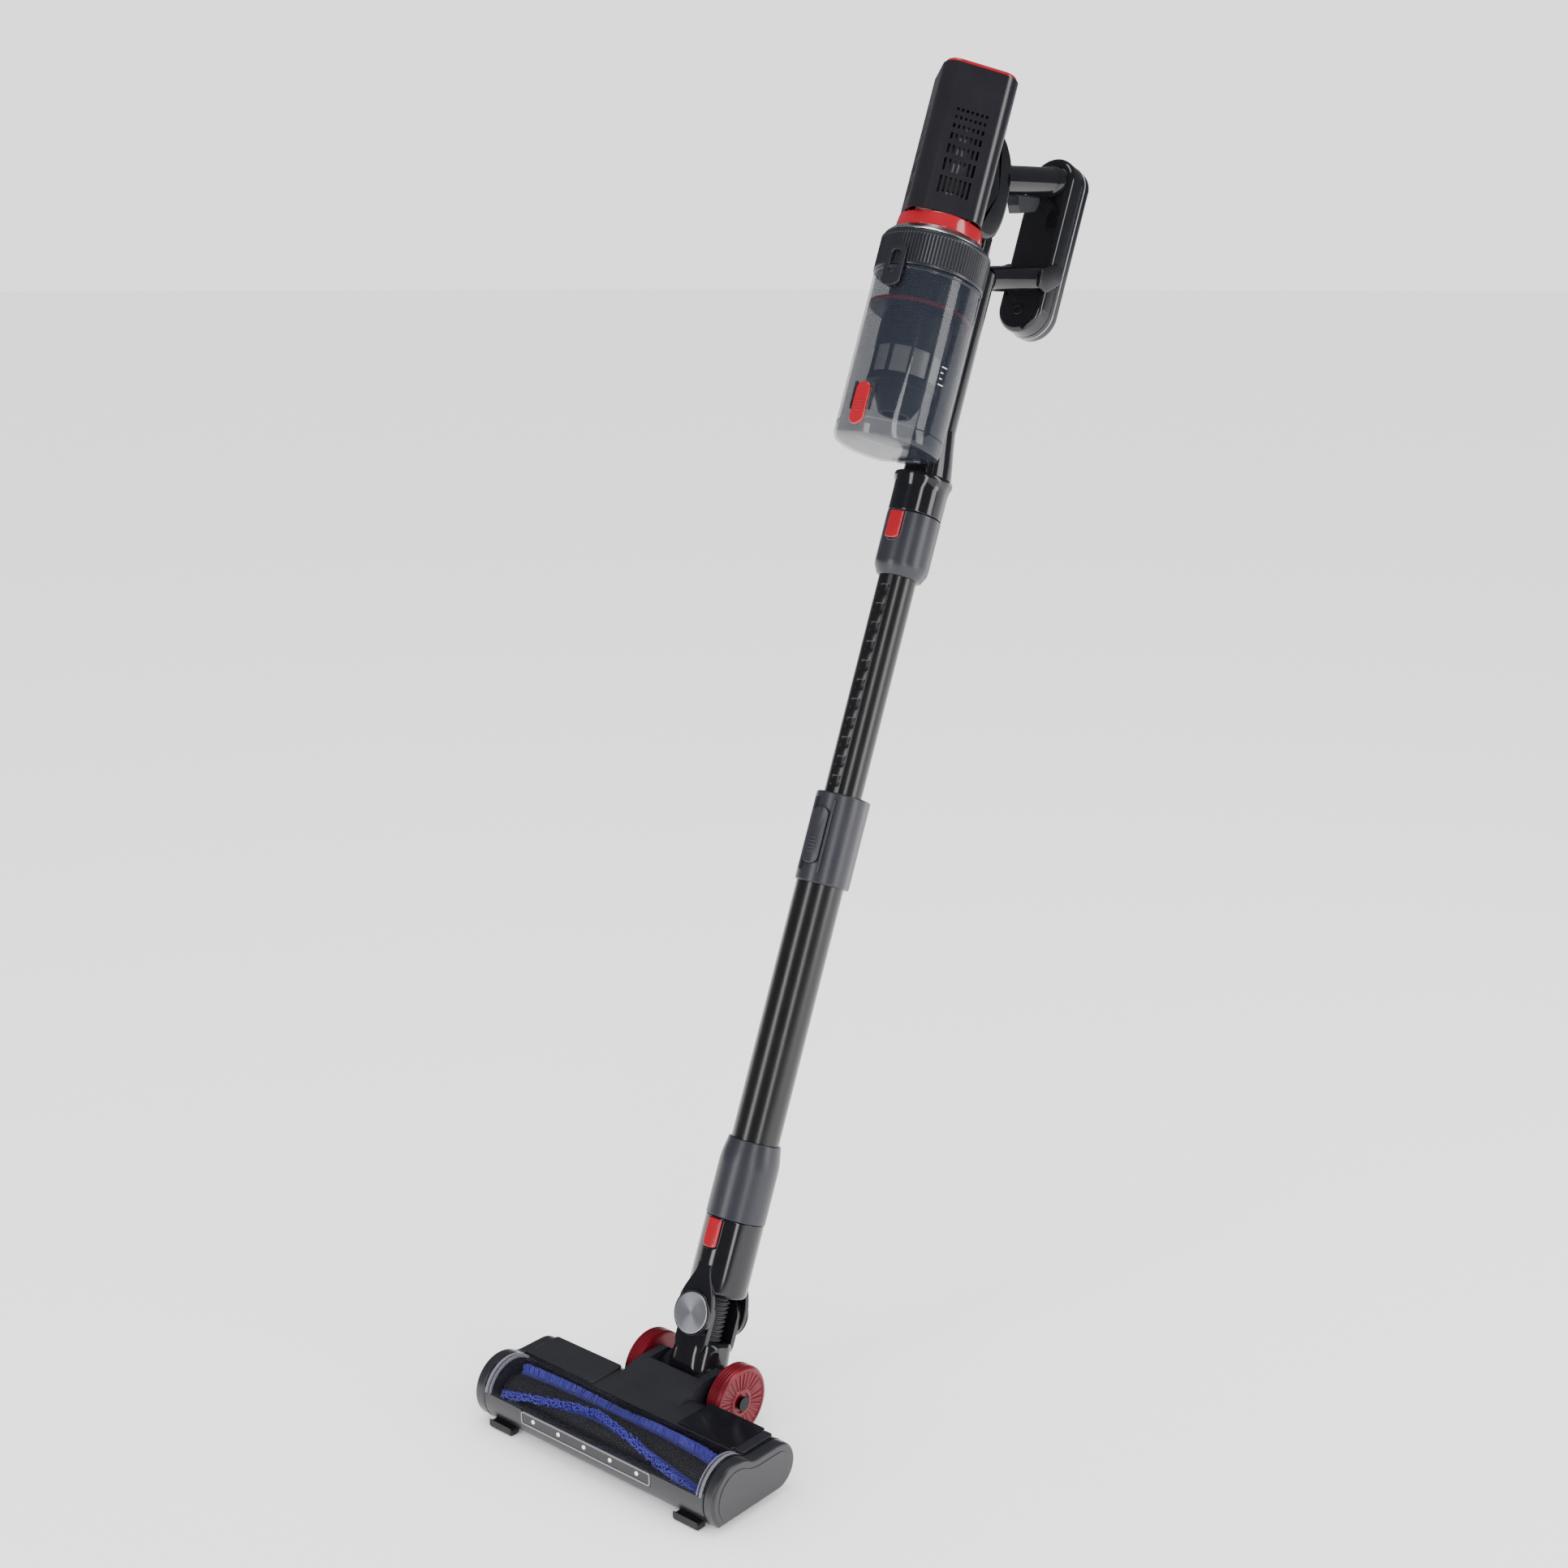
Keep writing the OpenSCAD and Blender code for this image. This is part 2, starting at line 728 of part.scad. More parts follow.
module lower_connector() color("#2c2c34") stick() {
    difference() {
        union() {
            translate([0, 0, collar_top]) cylinder(r = connector_r, h = connector_len - lip_len);
            translate([0, 0, conn_top - lip_len - 4]) cylinder(r1 = connector_r, r2 = outer_r + 2,
                h = 4 + lip_len);
            translate([0, 0, collar_top - spigot_len]) cylinder(r = spigot_r, h = spigot_len + overlap);
        }
        translate([0, 0, collar_top + tube_seat]) cylinder(r = bore_r, h = connector_len);
        translate([0, 0, collar_top - spigot_len - overlap]) cylinder(r = duct_r, h = connector_len);
    }
}

// ---- Neck ----

// Moves a Z cylinder to run along the swing axis
module along_swing(q) {
    translate([0, q, 0]) rotate([-90, 0, 0]) children();
}

module neck_collar() color("#1b1b20") stick() {
    low = 20;
    cavity = neck_r - 4.4;
    difference() {
        union() {
            translate([0, 0, low]) cylinder(r = neck_r, h = collar_top - low);
            for (q = [-neck_r, neck_r - lug_t]) {
                along_swing(q) cylinder(r = lug_r, h = lug_t);
                box([-lug_r, lug_r], [q, q + lug_t], [0, low + 6]);
            }
        }
        translate([0, 0, -lug_r]) cylinder(r = cavity, h = lug_r + cavity_top);
        cylinder(r = duct_r, h = collar_top);
        translate([0, 0, collar_top - spigot_len - 2]) cylinder(r = socket_r, h = spigot_len + 3);
        along_swing(-neck_r - overlap) cylinder(r = swing_pin_r + run, h = 2 * neck_r + 2 * overlap);
        box([-inner_lug_r - 1, inner_lug_r + 1], [-neck_r + lug_t, neck_r - lug_t], [-lug_r,
            inner_lug_r + 8]);
        latch_pocket(collar_top - 1, neck_r);
    }
}

module lower_latch() color("#b01c2c") stick() latch_button(collar_top - 1, neck_r);

module pivot_disc() {
    inside = neck_r - lug_t - gap - inner_lug_t;
    along_swing(inside) cylinder(r = swing_pin_r, h = neck_r - inside + 0.2);
    along_swing(neck_r + 0.1) cylinder(r = disc_r, h = 2.6);
}

module front_disc() color("#c9cace") stick() rotate([0, 0, 180]) pivot_disc();

module rear_disc() color("#c9cace") stick() pivot_disc();

module lower_neck() color("#1b1b20") stick() {
    body_r = barrel_r + 0.6;
    inside = neck_r - lug_t - gap - inner_lug_t;
    difference() {
        union() {
            translate([0, 0, -neck_len]) pin_x(barrel_r, barrel_w);
            translate([0, 0, -neck_len]) cylinder(r = body_r, h = neck_len - lug_r - 1.5);
            for (q = [-inside - inner_lug_t, inside]) {
                along_swing(q) cylinder(r = inner_lug_r, h = inner_lug_t);
                box([-inner_lug_r, inner_lug_r], [q, q + inner_lug_t], [-lug_r - 6, 0]);
            }
        }
        for (q = [-neck_r - 2, neck_r - lug_t - gap])
            along_swing(q) cylinder(r = lug_r + gap, h = lug_t + 2 + gap);
        along_swing(-neck_r) cylinder(r = swing_pin_r + run, h = 2 * neck_r);
        translate([0, 0, -neck_len]) cylinder(r = bellows_r + gap, h = neck_len);
        translate([0, 0, -neck_len]) pin_x(axle_r + run, barrel_w + 2);
        translate([0, 0, -neck_len]) rotate([90 + lean, 0, 0]) cylinder(r = 11, h = barrel_r + 4);
    }
}

module bellows_hose() color("#15151a") stick() {
    first = -(hose_ribs - 1) / 2 * hose_rib_pitch;
    difference() {
        union() {
            translate([0, 0, hose_low]) cylinder(r = bellows_r - hose_wall, h = hose_high - hose_low);
            for (i = [0:hose_ribs - 1])
                translate([0, 0, first + i * hose_rib_pitch - 0.9]) cylinder(r = bellows_r, h = 1.8);
        }
        translate([0, 0, hose_low - overlap])
            cylinder(r = bellows_r - 2 * hose_wall, h = hose_high - hose_low + 2 * overlap);
    }
}

// ---- Floor head, all outlines are (Y, Z) ----

module head_outline() {
    difference() {
        union() {
            translate([brush_y, brush_z]) circle(arch_r);
            translate([brush_y, sole_z]) square([rear_depth - hump_r, top_z - sole_z]);
            translate([rear_y - hump_r, hump_z]) circle(hump_r);
        }
        translate([-200, -100]) square([200, 100 + sole_z]);
    }
}

module at_brush() {
    translate([brush_y, brush_z]) children();
}

module compartment() {
    from = brush_y + arch_r + 0.4;
    translate([from, sole_z + head_wall]) square([rear_y - hump_r - from, top_z - sole_z - 2 * head_wall]);
    translate([rear_y - hump_r, hump_z]) circle(hump_r - head_wall);
}

module belt_slot() {
    box([belt_x - 1.2, belt_x + belt_w + 1.6], [brush_y + 12, brush_y + arch_r + 6], [12, 40]);
}

module head_screw_places() {
    for (x = [-104, -52, 52, 104]) translate([x * head_w / 270, rear_y - hump_r - 2, sole_z]) children();
}

// End wall of the brush chamber, with the hole for the end cap's stub
module end_plate() {
    difference() {
        union() {
            intersection() {
                at_brush() circle(chamber_r + 0.5);
                translate([-200, sole_z]) square([200, split_z - sole_z]);
            }
            at_brush() intersection() {
                circle(chamber_r - 0.3);
                translate([-50, sole_z - brush_z]) square(100);
            }
        }
        at_brush() circle(stub_r + 0.1);
    }
}

// Spaces round the wheels, grown by some millimetres
module wheel_wells(grow) {
    for (x = [-1, 1]) translate([x * (wheel_x + wheel_t / 2), 0, wheel_r])
        pin_x(wheel_r + well_gap + grow, wheel_t + 2 * (well_gap + grow));
}

// Two arms that hold the axle, grown by some millimetres
module yokes(grow) {
    for (x = [-1, 1]) translate([x * (yoke_x + yoke_t / 2), 0, 0]) along_x(yoke_t + 2 * grow) {
        translate([0, wheel_r]) circle(yoke_eye_r + grow);
        polygon([
            [0, wheel_r - yoke_eye_r], [0, wheel_r + yoke_eye_r + grow],
            [rear_y - 2 - grow, 37 + grow], [rear_y - 2 - grow, 20]
        ]);
    }
}

module chassis_outline() {
    intersection() {
        head_outline();
        union() {
            translate([-200, 0]) square([200, split_z]);
            translate([-200, 0]) square([200 + brush_y, window_z]);
        }
    }
}

module cover_outline() {
    intersection() {
        head_outline();
        translate([window_y + gap / 2, split_z + gap / 2]) square([200, 200]);
    }
}

module head_chassis() color("#1f1f24") difference() {
    union() {
        along_x(inner_w) difference() {
            chassis_outline();
            at_brush() circle(chamber_r);
            compartment();
        }
        intersection() {
            along_x(inner_w) chassis_outline();
            wheel_wells(head_wall);
        }
        for (x = [-1, 1]) translate([x * (inner_w - plate_t) / 2, 0, 0]) along_x(plate_t) end_plate();
        difference() {
            box([-18, 18], [rear_y - 1, -16], [14, split_z]);
            translate([0, 0, wheel_r]) pin_x(barrel_r + gap, 40);
        }
        difference() {
            yokes(0);
            translate([0, rear_y - hump_r, hump_z]) pin_x(hump_r - head_wall, 80);
        }
    }
    wheel_wells(0);
    translate([0, 0, wheel_r]) pin_x(axle_r + run, 120);
    belt_slot();
    head_screw_places() translate([0, 0, -overlap]) cylinder(r = 3, h = 2.6);
    box([-13, 13], [rear_y - 14, -8], [17, split_z + 1]);
    box([led_x - led_w / 2 - gap, led_x + led_w / 2 + gap], [brush_y - arch_r - 1, led_face + led_t + 0.1],
        [brush_z - 6 - gap, brush_z + 7]);
}

module cover_block() {
    along_x(2 * (yoke_x + yoke_t)) polygon([
        [rear_y - 29, top_z - 1], [rear_y - 14, top_z + 6], [-barrel_r - 2.6, top_z + 8.5],
        [-barrel_r - 2.6, top_z - 12], [rear_y - 10, top_z - 12]
    ]);
    for (x = [-1, 1]) translate([x * (yoke_x + yoke_t / 2), 0, 0]) along_x(yoke_t) polygon([
        [-barrel_r - 4, top_z - 4], [-barrel_r - 4, top_z + 8.5], [-2, top_z + 8.5], [8, top_z + 1], [8,
            top_z - 4]
    ]);
}

module head_cover() color("#1f1f24") difference() {
    union() {
        along_x(inner_w) difference() {
            cover_outline();
            at_brush() circle(chamber_r);
            compartment();
        }
        intersection() {
            along_x(inner_w) cover_outline();
            wheel_wells(head_wall);
        }
        difference() {
            cover_block();
            along_x(inner_w) compartment();
            along_x(inner_w) translate([rear_y - 60, 0]) square([80, split_z + gap]);
        }
    }
    wheel_wells(0);
    yokes(gap);
    belt_slot();
}

module badge_panel() color("#101014") {
    box([58, inner_w / 2 - 11], [window_y + 3, rear_y - hump_r], [top_z, top_z + 0.8]);
}

module end_caps() color("#2a2a30") {
    for (x = [-1, 1]) {
        translate([x * (head_w - cap_t) / 2, 0, 0]) along_x(cap_t) head_outline();
        translate([x * (inner_w / 2 - 5), brush_y, brush_z]) pin_x(stub_r, 10);
    }
}

module window() color("#c8ccd4", 0.35) along_x(inner_w - gap) difference() {
    at_brush() circle(arch_r);
    at_brush() circle(arch_r - window_t);
    translate([-200, -100]) square([200, 100 + window_z + gap / 2]);
    translate([window_y - gap / 2, -100]) square([200, 200]);
}

module led_strip() color("#0f0f12") {
    box([led_x - led_w / 2, led_x + led_w / 2], [led_face, led_face + led_t], [brush_z - 6, brush_z + 5]);
}

module led_lenses() color("#ffffff") {
    for (i = [0:led_count - 1])
        translate([led_x + (i - (led_count - 1) / 2) * led_pitch, led_face, brush_z])
            rotate([90, 0, 0]) cylinder(r = 1.8, h = 0.7);
}

module wheel_axle() color("#9a9ca0") {
    for (x = [-1, 1]) {
        translate([x * (20 + wheel_x + wheel_t) / 2, 0, wheel_r]) pin_x(axle_r, wheel_x + wheel_t + 2 - 20);
        translate([x * (wheel_x + wheel_t + 1.7), 0, wheel_r]) pin_x(axle_r + 2, 2);
    }
}

module brush_motor() color("#8d9096") {
    translate([belt_x + belt_w + 38, motor_y, motor_z]) difference() {
        pin_x(motor_r, 60);
        translate([-30, 0, 0]) pin_x(1.6 + run, 30);
    }
}

module motor_pulley() color("#d6d7da") {
    translate([belt_x + belt_w / 2, motor_y, motor_z]) pin_x(motor_pulley_r, belt_w);
    translate([belt_x + belt_w + 7, motor_y, motor_z]) pin_x(1.6, 16);
}

module drive_belt() color("#151515") {
    translate([belt_x + belt_w / 2, 0, 0]) along_x(belt_w - 1) difference() {
        hull() {
            at_brush() circle(brush_pulley_r + 0.3 + belt_t);
            translate([motor_y, motor_z]) circle(motor_pulley_r + 0.3 + belt_t);
        }
        hull() {
            at_brush() circle(brush_pulley_r + 0.3);
            translate([motor_y, motor_z]) circle(motor_pulley_r + 0.3);
        }
    }
}

module head_screws() color("#3a3a3e") {
    head_screw_places() translate([0, 0, 0.2]) cylinder(r = 2.7, h = 1.3);
}

module front_feet() color("#2a2a2e") {
    for (x = [-1, 1]) difference() {
        translate([x * foot_x * head_w / 270, brush_y - arch_r + 6, 5]) cube([foot_w, 10, 10], center = true);
        translate([0, brush_y, brush_z]) pin_x(arch_r + 0.05, head_w);
        box([-head_w, head_w], [brush_y - arch_r + 8, 0], [sole_z - 0.05, 40]);
    }
}

module brush_core() color("#1a1a1e") translate([0, brush_y, brush_z]) difference() {
    union() {
        translate([(belt_w + 4) / 2, 0, 0]) pin_x(core_r, brush_len - belt_w - 4);
        pin_x(brush_pulley_r, brush_len);
    }
    for (x = [-1, 1]) translate([x * inner_w / 2, 0, 0]) pin_x(stub_r + run, 24);
}

module brush_bristles() color("#3c3fb0") {
    half = (brush_len - belt_w - 8) / 2;
    translate([belt_w / 2 + 2, brush_y, brush_z])
        for (side = [-1, 1], start = [0, 180])
            rotate([0, side * 90, 0])
                linear_extrude(half, twist = side * 120, slices = 14, segments = 4) rotate(side * start)
                    translate([core_r + 0.05, -2]) square([bristle_r - core_r, 4]);
}

module wheel(side) color("#9c1626") {
    translate([side * (wheel_x + wheel_t / 2), 0, wheel_r]) difference() {
        pin_x(wheel_r, wheel_t);
        pin_x(axle_r + run, wheel_t + 2);
        translate([side * wheel_t / 2, 0, 0]) difference() {
            pin_x(wheel_r - 5, 6);
            pin_x(9, 8);
        }
    }
}
module left_wheel() wheel(-1);
module right_wheel() wheel(1);

motor_housing();
top_cap();
red_ring();
silver_ring();
spine_duct();
inlet_neck();
handle_bracket();
upper_arm();
lower_arm();
grip_shell();
trigger_pin();
suction_motor();
motor_seal();
control_board();
handle_screws();
upper_connector();
inner_tube();
inner_bush();
impeller();
trigger();
battery_pack();
battery_latch();
cup_collar();
dust_cup();
shroud();
cyclone_cone();
level_ring();
pre_filter();
door_pin();
cup_clip();
cup_door();
door_button();
upper_latch();
outer_tube();
tube_collar();
lower_connector();
neck_collar();
front_disc();
rear_disc();
slide_lever();
lower_latch();
lower_neck();
bellows_hose();
head_chassis();
head_cover();
badge_panel();
end_caps();
window();
led_strip();
led_lenses();
wheel_axle();
brush_motor();
head_screws();
front_feet();
brush_core();
brush_bristles();
drive_belt();
motor_pulley();
left_wheel();
right_wheel();
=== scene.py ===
"""A cordless stick vacuum, leaned back on its floor head, in a pale studio. Millimetres until place()."""
import json
import math
import bmesh
import bpy
import numpy as np
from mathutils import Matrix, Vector


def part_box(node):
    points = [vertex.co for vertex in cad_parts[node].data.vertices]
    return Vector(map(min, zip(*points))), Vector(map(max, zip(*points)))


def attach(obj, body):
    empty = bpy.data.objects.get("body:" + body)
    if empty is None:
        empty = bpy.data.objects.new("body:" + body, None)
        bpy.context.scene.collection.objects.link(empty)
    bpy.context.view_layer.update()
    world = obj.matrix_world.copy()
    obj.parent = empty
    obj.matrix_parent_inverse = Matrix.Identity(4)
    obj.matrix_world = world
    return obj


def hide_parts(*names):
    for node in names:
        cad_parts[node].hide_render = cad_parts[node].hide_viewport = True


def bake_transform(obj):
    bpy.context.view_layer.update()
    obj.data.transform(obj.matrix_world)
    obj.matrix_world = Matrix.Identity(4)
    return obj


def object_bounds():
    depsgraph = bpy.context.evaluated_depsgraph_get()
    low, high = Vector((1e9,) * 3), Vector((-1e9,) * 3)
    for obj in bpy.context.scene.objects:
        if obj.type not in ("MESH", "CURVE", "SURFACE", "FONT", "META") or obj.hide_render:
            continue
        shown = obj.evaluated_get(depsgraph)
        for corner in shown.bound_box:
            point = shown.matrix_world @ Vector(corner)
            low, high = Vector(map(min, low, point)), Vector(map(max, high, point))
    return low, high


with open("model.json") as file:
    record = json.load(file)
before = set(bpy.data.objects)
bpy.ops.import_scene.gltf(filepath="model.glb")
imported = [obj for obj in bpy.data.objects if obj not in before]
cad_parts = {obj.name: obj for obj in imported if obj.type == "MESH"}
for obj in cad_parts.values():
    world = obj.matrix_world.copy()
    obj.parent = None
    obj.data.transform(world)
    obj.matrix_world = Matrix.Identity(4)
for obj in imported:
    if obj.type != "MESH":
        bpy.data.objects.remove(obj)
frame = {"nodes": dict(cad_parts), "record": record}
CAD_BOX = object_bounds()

MM = 0.001
TAU = 2 * math.pi
RNG = np.random.default_rng(7)
JOINTS = {j["name"]: j for j in frame["record"]["behaviour"]["joints"]}


def joint_point(name):
    """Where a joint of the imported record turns, in millimetres."""
    return np.array(JOINTS[name]["pos_m"]) / MM


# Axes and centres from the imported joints
SWING = joint_point("neck_swing")
UP = -np.array(JOINTS["wand_slide"]["axis"])
BACK = -np.array(JOINTS["neck_swing"]["axis"])
AXLE = joint_point("left_wheel_roll")
BRUSH = joint_point("brush_spin")
RISE = math.radians(22.5)

# Heights along the stick, and depths behind its axis
COLLAR_TOP, CONN_TOP, SLEEVE, SLEEVE_TOP, UPPER, SEAM, CUP = 82, 149, 373, 452, 646, 702, 740
DOOR_TOP, BAND, SILVER, RED, BODY, CAP = 756, 888, 920, 927, 940, 1068
CUP_Q, BODY_Q, CUP_R, BAND_R = -61.0, -65.0, 46.4, 47.8
GRIP_Q, GRIP_W, GRIP_L, GRIP_S = 75, 46, 164, 900

# Radii of the tubes, and the bores that run on them and on the axles
OUTER_R, OUTER_BORE, INNER_R, INNER_WALL = 20.8, 19.2, 16.6, 1.6
OUTER_FIT, INNER_FIT, AXLE_FIT = 20.86, 16.66, 4.06
SLEEVE_R, HEAD_TUBE_R, CONN_R, NECK_R = 22.6, 23.2, 25.9, 25.4

# Release buttons: width, height, and how much wider their dark lip is
LATCH_W, LATCH_H, LIP = 13, 25, 0.6

# Floor head: rear edge, top, sole and the radius of the arch over the brush
REAR_Y, TOP_Z, SOLE_Z, ARCH_R = -28.4, 46, 6, 28


# ---- Shapes ----

def place(points):
    """Millimetres as the row's metres."""
    return np.asarray(points, float) * MM


def stick(points):
    """(x, q, s) of the leaned stick, q to the rear and s upwards, as the row's x, y, z."""
    p = np.asarray(points, float)
    return SWING + p[..., :1] * np.array([1, 0, 0]) + p[..., 1:2] * BACK + p[..., 2:3] * UP


def level(points):
    """Points that are already in the row's own axes."""
    return np.asarray(points, float)


def handle(rise):
    """Axes of the level handle arms: their root is on the stick's axis, rise above the housing's foot."""
    root = stick([0, 0, BODY + rise])
    return lambda points: np.asarray(points, float) + root


def circle(r, m=96, c=(0, 0)):
    """Points at equal angles on a circle."""
    a = (np.arange(m) + 0.5) * TAU / m
    return np.stack([c[0] + r * np.cos(a), c[1] + r * np.sin(a)], -1)


def round_hull(discs, m=96):
    """Outline round several discs (x, y, r): at each outward angle, the disc that reaches furthest."""
    a = (np.arange(m) + 0.5) * TAU / m
    n = np.stack([np.cos(a), np.sin(a)], -1)
    d = np.array(discs, float)
    best = np.argmax(n @ d[:, :2].T + d[:, 2], axis=1)
    return d[best, :2] + d[best, 2:3] * n


def rounded_box(w, d, r, m=96, c=(0, 0)):
    """Rectangle with round corners, as a hull of four discs."""
    x, y = w / 2 - r, d / 2 - r
    return round_hull([(c[0] + i * x, c[1] + j * y, r) for i in (-1, 1) for j in (-1, 1)], m)


def softened(points, r, k=5):
    """Closed polygon with each corner swapped for a quadratic Bezier that starts and ends r from it."""
    p = np.array(points, float)
    before, after = np.roll(p, 1, 0) - p, np.roll(p, -1, 0) - p
    lb, la = np.linalg.norm(before, axis=1), np.linalg.norm(after, axis=1)
    rr = np.broadcast_to(np.asarray(r, float), (len(p),))
    a = p + before / lb[:, None] * np.minimum(rr, lb * 0.48)[:, None]
    b = p + after / la[:, None] * np.minimum(rr, la * 0.48)[:, None]
    t = np.linspace(0, 1, k)[None, :, None]
    return ((1 - t) ** 2 * a[:, None] + 2 * t * (1 - t) * p[:, None] + t ** 2 * b[:, None]).reshape(-1, 2)


def inset(outline, d):
    """Closed counter-clockwise outline moved inwards by d along its averaged edge normals."""
    e = np.roll(outline, -1, 0) - outline
    e = e / np.maximum(np.linalg.norm(e, axis=1, keepdims=True), 1e-9)
    n = np.stack([e[:, 1], -e[:, 0]], -1)
    n = n + np.roll(n, 1, 0)
    n = n / np.maximum(np.linalg.norm(n, axis=1, keepdims=True), 1e-9)
    return outline - n * d


def rings_of(outline, path):
    """Rings (n, m, 3) of one outline: path gives (inset, height) of each."""
    return np.stack([np.column_stack([inset(outline, d), np.full(len(outline), h)]) for d, h in path])


def fillet_path(low, high, f, k=4, top=None):
    """(inset, height) from the low face to the high face, with quarter-round edges of radius f."""
    t = f if top is None else top
    a = np.linspace(0, math.pi / 2, k + 1)
    up = [(f * (1 - math.sin(x)), low + f * (1 - math.cos(x))) for x in a]
    down = [(t * (1 - math.cos(x)), high - t * (1 - math.sin(x))) for x in a]
    return up + down


def turned(profile, m=96):
    """Surface of revolution: each (radius, height) of the profile as a ring at equal angles."""
    return np.stack([np.column_stack([circle(r, m), np.full(m, h)]) for r, h in profile])


def shell(rings, loop=False, axes=None):
    """(vertices, faces) of closed rings: quads between neighbours, and a fan at each end unless they loop."""
    rings = np.asarray(rings, float)
    n, m = rings.shape[:2]
    i = np.arange(n if loop else n - 1)[:, None]
    j = np.arange(m)[None, :]
    a, b = i * m + j, i * m + (j + 1) % m
    c, d = ((i + 1) % n) * m + (j + 1) % m, ((i + 1) % n) * m + j
    faces = np.stack([a, b, c, d], -1).reshape(-1, 4).tolist()
    verts = rings.reshape(-1, 3)
    if not loop:
        verts = np.concatenate([verts, rings[0].mean(0)[None], rings[-1].mean(0)[None]])
        k = np.arange(m)
        faces += np.stack([np.full(m, n * m), (k + 1) % m, k], -1).tolist()
        faces += np.stack([np.full(m, n * m + 1), (n - 1) * m + k, (n - 1) * m + (k + 1) % m], -1).tolist()
    return (verts[:, list(axes)] if axes else verts), faces


ALONG_X = (2, 0, 1)   # an outline in (y, z), drawn out along x
ALONG_Q = (0, 2, 1)   # an outline in (x, s), drawn out along q


def slab(outline, low, high, f, axes=None, top=None):
    """Closed slab of an outline with quarter-round edges."""
    return shell(rings_of(outline, fillet_path(low, high, f, top=top)), axes=axes)


def moved(part, by):
    """A shell shifted by (x, y, z)."""
    return part[0] + np.array(by, float), part[1]


def bent(part, radius, q):
    """A shell of (x, depth, s) laid round an upright cylinder: x is the arc length, depth the way out."""
    v, faces = part
    a = v[:, 0] / radius
    r = radius + v[:, 1]
    return np.column_stack([r * np.sin(a), q - r * np.cos(a), v[:, 2]]), faces


def piece(name, parts, finish, body, stands_for=(), how=stick, sharp=38, uv=None):
    """One object from several closed shells, faces outwards and smooth below the sharp angle, on its body."""
    verts, faces, start = [], [], 0
    for v, f in parts:
        verts.append(v)
        faces += [[start + i for i in g] for g in f]
        start += len(v)
    mesh = bpy.data.meshes.new(name)
    mesh.from_pydata(place(how(np.concatenate(verts))).tolist(), [], faces)
    work = bmesh.new()
    work.from_mesh(mesh)
    bmesh.ops.remove_doubles(work, verts=work.verts, dist=1e-7)
    bmesh.ops.recalc_face_normals(work, faces=work.faces)
    work.to_mesh(mesh)
    work.free()
    mesh.shade_smooth()
    mesh.set_sharp_from_angle(angle=math.radians(sharp))
    obj = bpy.data.objects.new(name.replace(" ", "-"), mesh)
    bpy.context.scene.collection.objects.link(obj)
    mesh.materials.append(finish)
    if uv:
        uv(mesh)
    even = obj.modifiers.new("even shading", "WEIGHTED_NORMAL")
    even.keep_sharp = True
    if stands_for:
        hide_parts(*stands_for)
    if body:
        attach(obj, body)
    return obj


# ---- Finishes ----

def linear(hexcode):
    """sRGB hex as linear red, green, blue and alpha."""
    c = np.array([int(hexcode[i:i + 2], 16) for i in (1, 3, 5)]) / 255
    return tuple(np.where(c <= 0.04045, c / 12.92, ((c + 0.055) / 1.055) ** 2.4)) + (1.0,)


def add(tree, kind, links=(), **settings):
    """Adds a node, sets its inputs or properties by name, and links (input name, source socket) pairs."""
    node = tree.nodes.new(kind)
    for key, value in settings.items():
        label = key.replace("_", " ")
        match = [s for s in node.inputs if s.name.lower() == label.lower()]
        if match and not hasattr(node, key):
            match[0].default_value = value
        else:
            setattr(node, key, value)
    for target, source in links:
        tree.links.new(node.inputs[target], source)
    return node


# Size of the slow drift in mm, strength of the grain's bump, and roughness of a lacquer coat
DRIFT, BUMP, COAT_ROUGH = 22, 0.25, 0.06


